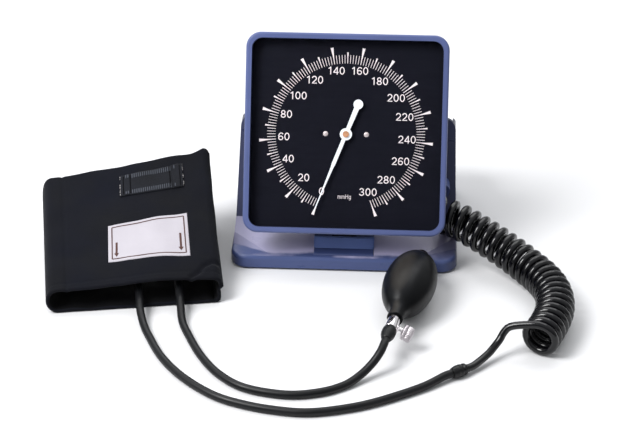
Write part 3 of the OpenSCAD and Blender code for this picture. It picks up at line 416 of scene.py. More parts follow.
BLUE = plastic("blue_plastic", srgb(77, 88, 132), 0.36)
BOSS = plastic("boss_plastic", srgb(60, 72, 116), 0.4)
BLOCK = plastic("block_plastic", srgb(91, 113, 175), 0.36)
STAND = stand_plastic()
NAVY = plastic("can_plastic", srgb(34, 39, 66), 0.42)
BLACK = plastic("black_plastic", srgb(9, 9, 11), 0.3, spec=0.3)
WHITE_BUSH = plastic("bush_plastic", srgb(220, 220, 212), 0.4)
STEEL = metal("steel", srgb(190, 190, 196), 0.25)
CHROME = metal("chrome", srgb(250, 246, 248), 0.1)
KNOB = metal("knob_metal", srgb(206, 200, 204), 0.36)
BRASS = metal("brass", srgb(196, 152, 100), 0.28)
COPPER = plastic("copper_screw", srgb(214, 158, 120), 0.3, grain=2500, shade=0.12, metallic=0.35)
NICKEL = plastic("nickel_screw", srgb(214, 202, 202), 0.25, grain=2500, shade=0.1, metallic=0.35)
CAPSULE = metal("capsule_bronze", srgb(190, 140, 88), 0.3)
HOSE = rubber("hose_rubber", srgb(9, 10, 13), 0.42, spec=0.28)
BULB_SKIN = rubber("bulb_rubber", srgb(4, 5, 8), 0.36, grain=500, spec=0.15)
COIL = rubber("coil_tube", srgb(4, 4, 7), 0.16, grain=250, depth=0.00002, spec=0.4)
POINTER = plastic("pointer_paint", srgb(234, 239, 247), 0.4, shade=0.03)
PRINT = plastic("dial_print", srgb(236, 226, 229), 0.5, shade=0.04, grain=1500, depth=0.00001)
DIAL = plastic("dial_face", srgb(14, 15, 25), 0.6, grain=300, depth=0.000002, spec=0.08)


def bloom(mat, low, mid, high):
    """Paints a highlight into the rubber's colour where it faces up and a little left."""
    tree = mat.node_tree
    geo = add(tree, "ShaderNodeNewGeometry")
    dot = add(tree, "ShaderNodeVectorMath", operation="DOT_PRODUCT")
    dot.inputs[1].default_value = (-0.24, -0.06, 0.97)
    tree.links.new(geo.outputs["Normal"], dot.inputs[0])
    fac = plus(tree, dot.outputs["Value"], noise_tex(tree, coords(tree), 60, 4), 0.05)
    color = ramp(tree, fac, [(0.66, low), (0.9, mid), (1, high)])
    tree.links.new(color, tree.nodes["Principled BSDF"].inputs["Base Color"])


# A painted highlight where the bulb's rubber faces up.
bloom(BULB_SKIN, srgb(3, 4, 6), srgb(13, 14, 17), srgb(40, 38, 36))


def glass():
    """Clear sheet: see-through, with a gloss that grows towards grazing angles."""
    mat, tree, bsdf = nodes_of("clear_window")
    clear = add(tree, "ShaderNodeBsdfTransparent")
    gloss = add(tree, "ShaderNodeBsdfGlossy")
    v = coords(tree)
    tree.links.new(spread(tree, noise_tex(tree, v, 30, 3), 0.02, 0.06), gloss.inputs["Roughness"])
    tint = ramp(tree, noise_tex(tree, v, 12, 3), [(0.3, (0.9, 0.92, 0.95)), (0.7, (1, 1, 1))])
    tree.links.new(tint, gloss.inputs["Color"])
    edge = add(tree, "ShaderNodeLayerWeight", Blend=0.5)
    rim = combine(tree, "MULTIPLY", combine(tree, "POWER", edge.outputs["Facing"], 5), 0.3)
    mix = add(tree, "ShaderNodeMixShader")
    for output, socket_in in zip((rim, clear.outputs[0], gloss.outputs[0]), mix.inputs):
        tree.links.new(output, socket_in)
    tree.links.new(mix.outputs[0], tree.nodes["Material Output"].inputs["Surface"])
    tree.nodes.remove(bsdf)
    return mat


WINDOW = glass()


def weave(name, col, light, size, depth, rough, sheen):
    """Plain woven cloth, laid along the cuff: crossed threads size m apart, blotches and sheen."""
    mat, tree, bsdf = nodes_of(name)
    v = coords(tree, rot=(0, 0, -CUFF_TURN))
    waves = []
    for axis in ("X", "Y"):
        w = add(tree, "ShaderNodeTexWave", wave_type="BANDS", bands_direction=axis,
                Scale=0.314 / size, Distortion=0.6, Detail=1)
        tree.links.new(v, w.inputs["Vector"])
        waves.append(w.outputs["Fac"])
    threads = combine(tree, "MULTIPLY", *waves)
    blotch = noise_tex(tree, v, 25, 5)
    both = plus(tree, combine(tree, "MULTIPLY", threads, 0.3), blotch, 0.7)
    tree.links.new(ramp(tree, both, [(0.25, col), (0.75, light)]), bsdf.inputs["Base Color"])
    dullness = spread(tree, blotch, rough * 0.9, min(1, rough * 1.15))
    tree.links.new(dullness, bsdf.inputs["Roughness"])
    bump(tree, bsdf, threads, 0.6, depth)
    bsdf.inputs["Sheen Weight"].default_value = sheen
    bsdf.inputs["Sheen Roughness"].default_value = 0.4
    bsdf.inputs["Specular IOR Level"].default_value = 0.12
    return mat


CLOTH = weave("cuff_cloth", srgb(7, 8, 13), srgb(18, 20, 30), 0.0007, 0.0002, 0.85, 0.04)
LINING = weave("cuff_lining", srgb(4, 4, 6), srgb(10, 10, 14), 0.0009, 0.0002, 0.9, 0.0)
LABEL = weave("label_cloth", srgb(168, 164, 171), srgb(184, 180, 187), 0.0004, 0.00006, 0.75, 0.0)
LABEL_INK = weave("label_ink", srgb(70, 48, 45), srgb(94, 70, 65), 0.0004, 0.00006, 0.75, 0.0)
WEBBING = weave("webbing", srgb(14, 15, 19), srgb(34, 36, 43), 0.0009, 0.0002, 0.8, 0.05)
RIB = weave("webbing_rib", srgb(52, 55, 62), srgb(84, 87, 95), 0.0006, 0.0001, 0.8, 0.05)
THREAD = rubber("thread", srgb(176, 172, 172), 0.7)


# ---------------------------------------------------------------- CAD nodes that keep their shape

LOOKS = {
    "bezel_frame": BLUE,
    "spacer_frame": NAVY,
    "hinge_block": BLOCK,
    "stand_shell": STAND,
    "base_plate": NAVY,
    "rear_can": NAVY,
    "back_plate": NAVY,
    "tilt_bracket": NAVY,
    "rubber_feet": HOSE,
    "link_tube": HOSE,
    "hinge_bushes": WHITE_BUSH,
    "hose_outlet": BOSS,
    "outlet_nut": BRASS,
    "dial_plate": DIAL,
    "pointer": POINTER,
    "pointer_hub": COPPER,
    "dial_screws": NICKEL,
    "window": WINDOW,
    "pressure_capsule": CAPSULE,
    "movement_plate": BRASS,
    "movement_pillars": BRASS,
    "capsule_bridge": BRASS,
    "pressure_nipple": BRASS,
    "spindle": STEEL,
    "sector_gear": BRASS,
    "hairspring": CAPSULE,
    "capsule_stud": BRASS,
    "valve_knob": KNOB,
}
for name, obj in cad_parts.items():
    obj.data.materials.clear()
    obj.data.materials.append(LOOKS.get(name, STEEL))
    for p in obj.data.polygons:
        p.material_index = 0


def replace(obj, *nodes, slot):
    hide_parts(*nodes)


# The plinth's side view as (y, z). Its ends as x and how far the bevel draws in the front and top.
PLINTH_SIDE = [
    (-77.8, 13.2), (-77.6, 13.9), (-76.9, 14.5), (-76, 14.8), (-70, 16.2), (-67, 16.2), (-67, 13.2),
]
PLINTH_ENDS = [(-27, 0.7), (-26.8, 0.3), (-26.3, 0), (26.3, 0), (26.8, 0.3), (27, 0.7)]
plinth = [
    (x, y + bevel * (y < -75), z - bevel * (z > 14))
    for x, bevel in PLINTH_ENDS
    for y, z in PLINTH_SIDE
]
plinth_faces = loft_faces(len(PLINTH_ENDS), len(PLINTH_SIDE))
piece("hinge_block_plinth", plinth, plinth_faces, smooth=False, mat=BOSS)

# ---------------------------------------------------------------- coiled hose and its coupling

COIL_LINE = [
    (88, -44, 38.6), (101, -50, 37.6), (117, -60, 33.5), (135, -72, 28),
    (151, -84, 22.8), (165, -98, 19), (176, -114, 17.7), (183, -132, 17.7),
    (185.5, -150, 17.7), (184, -169, 17.7), (178, -190, 17.7), (169, -212, 17.7),
]
COIL_TAIL = [(144.8, -207.5, 26.5), (136.5, -212, 16.5), (128, -221, 9), (119.5, -230.5, 6.2)]
# The radii of the coiled tube and of the plain hoses
TUBE_RADIUS, HOSE_RADIUS = 3.3, 3.5
# The coil's turns, their radius, the points on each, and how much closer they lie towards the end
TURNS, WINDING, TURN_STEPS, CROWDING = 24, 13.8, 8, 0.22 / 2.22
# Half the length, in mm, over which the coil's direction is taken
REACH = 6


def coil_path():
    """Straight out of the outlet, in turns along the line, then down to the coupling."""
    dense = smooth(COIL_LINE, 10)
    lengths = [0.0]
    for a, b in zip(dense, dense[1:]):
        lengths.append(lengths[-1] + (b - a).length)
    total = lengths[-1]

    def inside(s):
        return min(max(s, 0), total - 0.01)

    def place(s):
        s = inside(s)
        i = max(j for j, v in enumerate(lengths) if v <= s)
        f = (s - lengths[i]) / (lengths[i + 1] - lengths[i])
        return dense[i] + (dense[i + 1] - dense[i]) * f

    def ring(k):
        u = k / TURNS
        s = inside(total * (u * (1 + CROWDING) - CROWDING * u * u))
        d = (place(s + REACH) - place(s - REACH)).normalized()
        across = UP.cross(d).normalized()
        a = 2 * math.pi * k
        return place(s) + WINDING * (math.cos(a) * d.cross(across) - math.sin(a) * across)

    rings = [ring(i / TURN_STEPS) for i in range(TURNS * TURN_STEPS + 1)]
    bend = rings[-2:] + [Vector(p) for p in COIL_TAIL]
    path = [Vector((88, -28.1, 52.4)), Vector((88, -35.1, 52.4))] + rings
    path += [smooth_at(bend, 1 + i / 2) for i in range(1, 9)]
    path += [COUPLING_AT - 10.7 * COUPLING_DIR, COUPLING_AT - 3.7 * COUPLING_DIR]
    return smooth(path, 3)


coil = coil_path()
coil_hose = tube("coiled_hose", coil, TUBE_RADIUS, sides=16, mat=COIL)
replace(coil_hose, "coil_hose", slot="coil_tube")

coupling = revolve(
    "hose_coupling_plug",
    [(1.4, -3.6), (4.2, -3.6), (4.6, -3.3), (5, -2.6), (5.1, -2), (5.1, -1.2), (4.8, -0.8),
     (4.4, -0.6), (4.3, -0.3), (4.3, -0.1), (1.4, -0.1)],
    COUPLING, sides=48, mat=BLACK,
)
replace(coupling, "coupling_plug", slot="black_plastic")
socket = revolve(
    "hose_coupling_socket",
    [(1.4, 0.1), (4.4, 0.1), (4.7, 0.3), (5.3, 1), (5.45, 1.8), (5.45, 3.6), (5.2, 3.8), (5.2, 4.2),
     (5.45, 4.4), (5.45, 5.9), (5.2, 6.6), (4.6, 8.8), (4.3, 9.7), (4.1, 10), (1.4, 10)],
    COUPLING, sides=48, mat=BLACK,
)
replace(socket, "coupling_socket", slot="black_plastic")

# ---------------------------------------------------------------- plain hoses

CUFF_LINE = [
    COUPLING_AT + 10.1 * COUPLING_DIR, COUPLING_AT + 18 * COUPLING_DIR,
    (70.6, -268.5, 4), (34.3, -290.5, 3.7), (7.4, -301.5, 3.7), (-19.4, -307.5, 3.7),
    (-44, -306, 3.7), (-71, -299.6, 3.7), (-97.5, -287.5, 3.7), (-125, -263.3, 3.7),
    (-146, -234.7, 3.7), (-161, -202.6, 3.8), (-167.4, -186.4, 5), (-171.8, -172, 8.8),
    (-173.6, -162.1, 11.6), (-175.3, -152.3, 13.2), (-176.8, -143.6, 15.6), (-178.2, -135.7, 18.8),
]
BULB_LINE = [
    (-143.8, -129.6, 18.8), (-142.4, -137.5, 15.6), (-140.8, -146.2, 13.2),
    (-139.1, -156, 11.6), (-137.4, -165.9, 8.8), (-134.8, -179.4, 5), (-129.4, -194.5, 3.8),
    (-114.5, -228.7, 3.7), (-96.5, -256.4, 3.7), (-73, -275.5, 3.7), (-39, -283.5, 3.7),
    (-12, -279, 3.7), (8, -268, 3.7), (21, -256.5, 6.5), (30.7, -248, 13), (36.8, -241.3, 19.5),
    (39.5, -234.7, 22.6), (40.95, -227.8, 23),
]
for name, line, node in (
    ("cuff_side_hose", CUFF_LINE, "cuff_hose"), ("bulb_side_hose", BULB_LINE, "bulb_hose"),
):
    path = smooth(line, 8)
    hose = tube(name, path, HOSE_RADIUS, sides=20, mat=HOSE)
    replace(hose, node, slot="rubber")

sleeve = revolve(
    "hose_sleeve_end",
    [(2.2, 0), (5.2, 0), (5.6, 0.4), (5.9, 1.6), (6.1, 3), (6.1, 7.6), (5.8, 9.8), (5, 12.4),
     (4.1, 15), (3.7, 16.5), (2.2, 16.5)],
    BULB @ shift(0, 0, -72.6) @ turn(180, "X"), sides=48, mat=HOSE,
)
replace(sleeve, "hose_sleeve", slot="rubber")

# ---------------------------------------------------------------- link hose behind the head

NIPPLE = HEAD @ Vector((0, 57.5, 76.7))
NIPPLE_END = HEAD @ Vector((0, 57.5, 70.7))
LINK_LINE = [
    NIPPLE, NIPPLE_END, (0, -10.5, 71), (5, -14.5, 62.5), (18, -17.5, 56), (36, -19, 52.9),
    (54, -19, 52.4), (68, -19, 52.4), (78.4, -19, 52.4),
]
link = tube("link_hose", smooth(LINK_LINE, 8), 3, sides=20, body=None, mat=HOSE)
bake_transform(link)
replace(link, "link_tube", slot="rubber")

# ---------------------------------------------------------------- bulb

# The egg's length, largest radius and start, then the wall, the radii of the neck and its bore, and
# how softly the neck runs into the egg
EGG_LONG, EGG_RADIUS, EGG_START = 91.2, 22.8, -44
WALL, NECK, BORE, EASE = 2.4, 7, 4.8, 0.9


def egg(f):
    """Radius at a share f of the length. The power makes the far end a little blunter."""
    g = f**1.04
    return EGG_RADIUS * math.sqrt(max(0, 4 * g * (1 - g)))


def bulb_profile():
    """Neck, egg body and rounded far end, then back inside as a thin wall."""
    pts = [(BORE, -56), (6.4, -56), (6.9, -55.6), (NECK, -54.8), (NECK, -46)]
    for i in range(3, 58):
        f = i / 60
        r = egg(f)
        if f < 0.3:
            r = math.log(math.exp(r / EASE) + math.exp(NECK / EASE)) * EASE
        pts.append((r, EGG_LONG * f + EGG_START))
    pts += [(6.6, 45.4), (5.6, 46.3), (4.8, 46.9), (3, 47), (3, 44)]
    for i in range(28, 2, -1):
        pts.append((max(egg(i / 30) - WALL, BORE), EGG_LONG * i / 30 + EGG_START))
    return pts + [(BORE, -47)]


bulb = revolve("rubber_bulb", bulb_profile(), BULB, sides=96, mat=BULB_SKIN)
replace(bulb, "bulb", slot="bulb_rubber")
inlet = revolve(
    "bulb_end_valve",
    [(0, 43.5), (2.8, 43.5), (2.8, 46.9), (5.2, 47.1), (5.9, 47.5), (6.3, 48.3), (6.3, 51.2),
     (6, 52.4), (5.5, 53.2), (4.8, 53.6), (4.4, 54), (3.4, 54.2), (1.3, 54.2), (1.2, 53.6),
     (1.2, 52), (0, 52)],
    BULB, sides=48, mat=BULB_SKIN,
)
replace(inlet, "bulb_inlet_valve", slot="bulb_rubber")

# ---------------------------------------------------------------- valve

# The valve's barrel lies along the bulb's axis. Its screw comes out of its side.
VALVE = BULB @ shift(0, 0, -59)
KNOB_AT = VALVE @ shift(0, 0, -8.25) @ turn(22, "Z") @ turn(90, "X")
body = revolve(
    "valve_barrel",
    [(1.1, 3.8), (2.4, 11.4), (4.7, 11.4), (4.75, 2.7), (5.1, 2.8), (5.4, 2.6), (5.5, 2.2),
     (5.5, -12.7), (5.4, -13.2), (5.1, -13.5), (2.1, -13.5), (2.1, -28), (1.1, -28)],
    VALVE, sides=64, mat=CHROME,
)
# A plain collar, then the ridges of a thread
stem_profile = [(1.7, 3.4), (3.3, 3.4), (3.3, 6.2)]
for i in range(5):
    z = 6.4 + i * 0.62
    stem_profile += [(2.5, z), (3, z + 0.31)]
stem_profile += [(2.6, 9.6), (1.7, 9.6)]
stem = revolve("valve_stem", stem_profile, KNOB_AT, sides=40, mat=CHROME)
replace(body, "valve_body", slot="chrome")


def knurl(a, z):
    """24 rounded ridges around the wheel's rim."""
    return 0.32 * math.cos(24 * a) if 10.9 < z < 18.3 else 0


knob = revolve(
    "valve_wheel",
    [(1.5, 10), (4.8, 10), (5.6, 10.2), (6.1, 10.7), (6.35, 11.1), (6.35, 13.3), (6, 13.6), (6, 14),
     (6.35, 14.3), (6.35, 18.1), (6.1, 18.7), (5.5, 19.3), (4.6, 19.5), (4.2, 19.3), (0, 19.1)],
    KNOB_AT, sides=192, wobble=knurl, body="knob", mat=KNOB,
)
replace(knob, "valve_knob", slot="knob_metal")

# ---------------------------------------------------------------- cuff

# The roll's front edge, depth and half its width, and the thickness of its cloth
FRONT, DEEP, HALF, THICK = -68.0, 136.0, 77.0, 3.2
# Creases of the top: their line, depth and width
CREASES = [([(70, -50.8), (62, -56), (57, -63), (50, -67.5)], 2.0, 2.0)]
# Points on the parts of a cross-section, and steps from the front to the rear
FOLD_STEPS, TOP_STEPS, CORNER_STEPS, SIDE_STEPS, BOTTOM_STEPS = 20, 96, 9, 8, 24
ROWS = 92


def side_tops(v):
    """Heights of the roll's left and right top edges. v runs from the front, 0, to the rear, 1."""
    return 23 + 35 * v, 24 + 54 * v


def distance(x, y, line):
    """From a point to the nearest place on a line of points."""
    best = 1e9
    for (ax, ay), (bx, by) in zip(line, line[1:]):
        dx, dy = bx - ax, by - ay
        t = min(1, max(0, ((x - ax) * dx + (y - ay) * dy) / (dx * dx + dy * dy)))
        best = min(best, math.hypot(x - ax - t * dx, y - ay - t * dy))
    return best


def bell(d, width):
    """1 at d = 0, falling off smoothly over the width."""
    return math.exp(-((d / width) ** 2))


def lumps(*at):
    return noise.noise(Vector(at))


def swell(x, y):
    """How far the padded top stands off its ruled form."""
    v = (y - FRONT) / DEEP
    out = lumps(x * 0.022, y * 0.03, 3.1) * 1.8
    out += lumps(x * 0.06, y * 0.05, 9.2) * 0.6
    # The puffed front, then the sharp rear corner with the slack beside it
    front = max(0, 1 - v) ** 2
    out += front * (4.4 * bell(x - 22, 48) + 0.8)
    rear = min(1, max(0, (v - 0.78) / 0.22)) ** 1.5
    out += rear * (5.2 * bell(x - 74, 10) + 1.7 * bell(x - 46, 16))
    # The seam along the left fold and the front hem's stitching
    out -= 0.8 * bell(x + 58, 1.3) - 0.5 * bell(x + 64, 4)
    out -= 0.35 * bell(y - FRONT - 6, 0.9)
    for line, depth, width in CREASES:
        out -= depth * bell(distance(x, y, line), width)
    return out


def top_z(x, y):
    v = (y - FRONT) / DEEP
    left, right = side_tops(v)
    return left + (right - left) * (x + HALF) / (2 * HALF) + swell(x, y)


def cuff_ring(v, inset):
    """Cross-section of the roll as (x, z). The cloth's inner side is inset by its thickness."""
    y = FRONT + DEEP * v
    pts = []

    # Round fold at the left, squarer towards the rear
    fold = 10.5 + 4 * v
    power = 2 / (2 + 1.4 * v)
    high = top_z(-HALF + fold, y)
    for i in range(FOLD_STEPS):
        a = math.radians(-90 + 180 * i / FOLD_STEPS)
        across, up = math.cos(a), math.sin(a)
        z = high / 2 + (high / 2 - inset) * math.copysign(abs(up) ** power, up)
        pts.append((-HALF + fold - (fold - inset) * abs(across) ** power, z))

    # Padded top and the corner at its right
    corner = 8.5 - 3.2 * v
    for i in range(TOP_STEPS):
        x = -HALF + fold + (2 * HALF - fold - corner) * i / TOP_STEPS
        pts.append((x, top_z(x, y) - inset))
    high = top_z(HALF - corner, y)
    drop = corner * 1.1
    for i in range(CORNER_STEPS):
        a = math.radians(90 * i / CORNER_STEPS)
        x = HALF - corner + (corner - inset) * math.sin(a)
        pts.append((x, high - drop + (drop - inset) * math.cos(a)))

    # Right side down to the edge of the overlap, which stands off the layer below it
    over = 15 + 2 * v
    for i in range(SIDE_STEPS):
        t = i / SIDE_STEPS
        z = (high - drop) * (1 - t) + over * t
        bulge = 1.1 * lumps(y * 0.04, z * 0.06, 5.5)
        pts.append((HALF - inset + bulge * (1 - t) + 0.9 * math.sin(math.pi * min(1, 1.3 * t)), z))
    deep = 1 if inset == 0 else 0.2
    lip = [(0.2, 0), (0.9, 0.8), (3.4 * deep + 0.6, 1.5), (3.8 * deep + 0.4, 2.3)]
    for dx, dz in lip + [(2.2, 3.0), (1.6, 4)]:
        pts.append((HALF - inset - dx, over - dz))

    # Lower corner and flat bottom
    for dx, z in ((1.5, 5), (2.1, 2.6), (3.4, 1), (5.5, 0.25)):
        pts.append((HALF - inset * 0.9 - dx, max(z, 0.25) + inset * (1 if z < 3 else 0.4)))
    x0, x1 = HALF - 8, -HALF + fold
    for i in range(BOTTOM_STEPS):
        x = x0 + (x1 - x0) * i / BOTTOM_STEPS
        rise = 0.8 * inset * lumps(x * 0.05, y * 0.05, 7)
        pts.append((x, 0.2 + inset + max(rise, -1)))
    return pts


def cuff_rows(inset):
    """Cross-sections from the front to the rear, closer together at the front."""
    rows = []
    for i in range(ROWS + 1):
        v = (i / ROWS) ** 1.15
        rows.append([Vector((x, FRONT + DEEP * v, z)) for x, z in cuff_ring(v, inset)])
    return rows


def rim(start, end, bow):
    """Rows across the cloth's thickness at an open end of the roll, bowed outwards."""
    rows = []
    for t in (0.12, 0.3, 0.5, 0.7, 0.88):
        out = Vector((0, bow * math.sin(math.pi * t), 0))
        rows.append([p.lerp(q, t) + out for p, q in zip(start, end)])
    return rows


def make_cuff():
    """The rolled cloth with its lining, open at the front and the rear."""
    outer = cuff_rows(0)
    inner = cuff_rows(THICK)[::-1]
    rows = outer + rim(outer[-1], inner[0], 1.4)
    first = len(rows)
    rows += inner
    last = len(rows) - 1
    rows += rim(inner[-1], outer[0], -1.3)
    n = len(rows[0])
    verts = [v for row in rows for v in row]
    obj = piece("cuff_roll", verts, loft_faces(len(rows), n, wrap=True), CUFF, mat=CLOTH)
    obj.data.materials.append(LINING)
    for i, f in enumerate(obj.data.polygons):
        if first <= i // n < last:
            f.material_index = 1
    return obj


cuff = make_cuff()
replace(cuff, "cuff_sleeve", "cuff_bladder", slot="cuff_cloth")


def between(corners, s, t):
    """A patch's point from its corners, front left round to rear left. s, t run from -1 to 1."""
    a, b = (1 + s) / 2, (1 + t) / 2
    (ax, ay), (bx, by), (cx, cy), (dx, dy) = corners
    return (
        (ax * (1 - a) + bx * a) * (1 - b) + (dx * (1 - a) + cx * a) * b,
        (ay * (1 - a) + by * a) * (1 - b) + (dy * (1 - a) + cy * a) * b,
    )


def cell(corners, s0, s1, t0, t1):
    """A four-cornered part of a patch."""
    return [between(corners, s, t) for s, t in ((s0, t0), (s1, t0), (s1, t1), (s0, t1))]


# Gap under a patch that lies on the cuff, and how deep its hidden side is sunk into the cuff
PATCH_LIFT, PATCH_SUNK = 0.15, 0.4


def patch(name, corners, thick, shape, nx, ny, mat):
    """Thin cloth that follows the cuff's top. shape(s, t) gives its share of the thickness."""
    verts = []
    for low in (False, True):
        for j in range(ny + 1):
            for i in range(nx + 1):
                s, t = 2 * i / nx - 1, 2 * j / ny - 1
                x, y = between(corners, s, t)
                rise = -PATCH_SUNK if low else PATCH_LIFT + thick * shape(s, t)
                verts.append((x, y, top_z(x, y) + rise))
    m = (nx + 1) * (ny + 1)
    faces = []
    for j in range(ny):
        for i in range(nx):
            a = j * (nx + 1) + i
            q = (a, a + 1, a + nx + 2, a + nx + 1)
            faces += [q, tuple(m + k for k in q[::-1])]
    edge = list(range(nx)) + [j * (nx + 1) + nx for j in range(ny)]
    edge += [ny * (nx + 1) + i for i in range(nx, 0, -1)] + [j * (nx + 1) for j in range(ny, 0, -1)]
    for a, b in zip(edge, edge[1:] + edge[:1]):
        faces.append((a, m + a, m + b, b))
    return piece(name, verts, faces, CUFF, mat=mat)


LABEL_AT = [(-20.8, -43.5), (51.1, -44.9), (51.7, 3.7), (-19.1, -1.1)]
WEB_AT = [(-6, 31.5), (51, 32.7), (51.2, 58), (-5.2, 54.8)]
LABEL_THICK = 0.5


def label_shape(s, t):
    """Rounded edges, a stitched border and a slight wave."""
    edge = max(abs(s), abs(t))
    stitch = 0.25 * bell(edge - 0.955, 0.02)
    return 1 - 0.5 * edge**14 - stitch + 0.25 * lumps(s * 3, t * 2, 4)


label = patch("cuff_patch", LABEL_AT, LABEL_THICK, label_shape, nx=84, ny=52, mat=LABEL)
replace(label, "cuff_label", slot="label_cloth")


def on_cuff(name, polys, lift, mat, thick=0.0):
    """Flat or raised shapes laid on the cuff's top, each a list of its points."""
    verts, faces = [], []
    for poly in polys:
        n, k = len(verts), len(poly)
        verts += [(x, y, top_z(x, y) + lift + thick) for x, y in poly]
        faces.append(tuple(range(n, n + k)))
        if thick:
            verts += [(x, y, top_z(x, y) + lift - 0.3) for x, y in poly]
            faces += [(n + i, n + k + i, n + k + (i + 1) % k, n + (i + 1) % k) for i in range(k)]
    return piece(name, verts, faces, CUFF, mat=mat, smooth=False)


# The label's printing: half-sizes of its border, then its arrows as tail, tip and width of the head
BORDER_S, BORDER_T, BORDER_STEPS = 0.905, 0.86, 30
ARROWS = [((-12.5, -21), (-13.4, -38.3), 4.3), ((44, -19), (43.6, -38.6), 4.6)]
ARROW_HEAD, SHAFT_HALF, SHAFT_STEPS = 4.2, 0.95, 4


def label_print():
    """A border and two plain arrows."""
    polys = []
    corners = [(s * BORDER_S, t * BORDER_T) for s, t in CORNERS]
    for (s0, t0), (s1, t1) in zip(corners, corners[1:] + corners[:1]):
        line = []
        for i in range(BORDER_STEPS + 1):
            s, t = s0 + (s1 - s0) * i / BORDER_STEPS, t0 + (t1 - t0) * i / BORDER_STEPS
            line.append(between(LABEL_AT, s, t))
        polys += ribbon(line, 1.0)
    for tail, tip, head in ARROWS:
        u = (Vector(tip) - Vector(tail)).normalized()
        n = Vector((-u.y, u.x))
        neck = Vector(tip) - u * ARROW_HEAD
        side = n * SHAFT_HALF
        shaft = [Vector(tail).lerp(neck, i / SHAFT_STEPS) for i in range(SHAFT_STEPS + 1)]
        for a, b in zip(shaft, shaft[1:]):
            polys.append([tuple(a + side), tuple(a - side), tuple(b - side), tuple(b + side)])
        polys.append([tuple(neck + n * head / 2), tuple(neck - n * head / 2), tip])
    return polys


on_cuff("cuff_patch_print", label_print(), lift=PATCH_LIFT + LABEL_THICK + 0.14, mat=LABEL_INK)

# Grooves across the webbing, from -1 to 1 along it, and those of them sewn with dark thread
GROOVES = (-0.9, -0.68, 0.6, 0.68, 0.92)
SEAMS = (-0.9, -0.68, 0.6, 0.92)
# Where its turned-in ends stop
END_AT = 0.66


def web_shape(s, t):
    """Two turned-in ends, sewn down across, and a band lying between them."""
    end = 1 if abs(s) > END_AT else 0.7
    groove = sum(0.5 * bell(s - at, 0.018) for at in GROOVES)
    return end - groove + 0.08 * lumps(s * 20, t * 6, 2)


webbing = patch("cuff_webbing_loop", WEB_AT, 1.5, web_shape, nx=200, ny=44, mat=WEBBING)
replace(webbing, "cuff_webbing", slot="webbing")


def web_ribs(ends):
    """Ribs of the band's selvedges, on its turned-in ends or on the band between them."""
    polys = []
    for edge in (-1, 1):
        for i in range(24):
            s = -0.82 + i * 0.068
            on_seam = abs(abs(s) - 0.67) < 0.03
            if on_seam or (abs(s) > END_AT) != ends:
                continue
            stop = 0.66 if ends else 0.56
            polys.append(cell(WEB_AT, s - 0.016, s + 0.016, 0.93 * edge, stop * edge))
    return polys


on_cuff("cuff_webbing_ribs", web_ribs(False), lift=1.2, mat=RIB, thick=0.32)
on_cuff("cuff_webbing_end_ribs", web_ribs(True), lift=1.62, mat=RIB, thick=0.32)


def stitches():
    """Dark thread across both ends of the loop, and its pale frayed ends."""
    dark, pale = [], []
    for at in SEAMS:
        for i in range(11):
            t = -0.84 + i * 0.165
            dark.append(cell(WEB_AT, at - 0.011, at + 0.011, t, t + 0.1))
    for side in (-1, 1):
        for i in range(26):
            t = random.uniform(-0.97, 0.97)
            s0 = side * random.uniform(0.965, 1.0)
            s1 = side * random.uniform(1.0, 1.03)
            dt = random.uniform(-0.05, 0.05)
            h = random.uniform(0.008, 0.016)
            ends = ((s0, t), (s1, t + dt), (s1, t + dt + h), (s0, t + h))
            pale.append([between(WEB_AT, *end) for end in ends])
    on_cuff("cuff_webbing_stitches", dark, lift=1.55, mat=LINING, thick=0.12)
    on_cuff("cuff_webbing_fray", pale, lift=1.0, mat=THREAD, thick=0.4)


stitches()

# ---------------------------------------------------------------- dial printing

# The dial's face in AXIS, and how far its printing stands off
FACE, PRINT_LIFT = 9.5, 0.06
# mm to a pixel of the photograph at the dial, in which the ticks were measured
PX = 1800 / 2010
# The scale: where 0 stands, in degrees past straight down, its last value, and the angle to that
ZERO_AT, LAST, SWEEP = 21.25, 300, 317.5


def dial_polys(name, polys):
    """Printing on the dial from polygons of (x, z) points, right and up from its centre."""
    verts, faces = [], []
    for poly in polys:
        n = len(verts)
        verts += [(x, FACE - PRINT_LIFT, z) for x, z in poly]
        faces.append(tuple(range(n, n + len(poly))))
    obj = piece(name, verts, faces, AXIS, smooth=False, body="head", mat=PRINT)


def direction(value):
    """Where a value stands on the scale, as (x, z) from the spindle."""
    a = math.radians(180 + ZERO_AT + value / LAST * SWEEP)
    return math.sin(a), math.cos(a)


def ticks():
    """Ticks that widen outwards, each from (radius, half width) pairs in pixels."""
    polys = []
    for value in range(0, LAST + 1, 2):
        sx, sz = direction(value)
        if value % 20 == 0:
            stops = [(70, 0.3), (75, 0.36), (79, 0.62), (86.6, 1.5)]
        elif value % 10 == 0:
            stops = [(70, 0.27), (76, 0.38), (81, 0.8)]
        else:
            stops = [(70, 0.22), (78.4, 0.27)]
        left, right = [
            [(r * PX * sx - side * h * PX * sz, r * PX * sz + side * h * PX * sx) for r, h in stops]
            for side in (1, -1)
        ]
        polys += [list(quad) for quad in zip(left, left[1:], right[1:], right)]
    return polys


dial_polys("dial_ticks", ticks())


def arc(cx, cy, rx, ry, a, b, n):
    """Points of an ellipse from a to b degrees."""
    angles = [math.radians(a + (b - a) * i / n) for i in range(n + 1)]
    return [(cx + rx * math.cos(t), cy + ry * math.sin(t)) for t in angles]


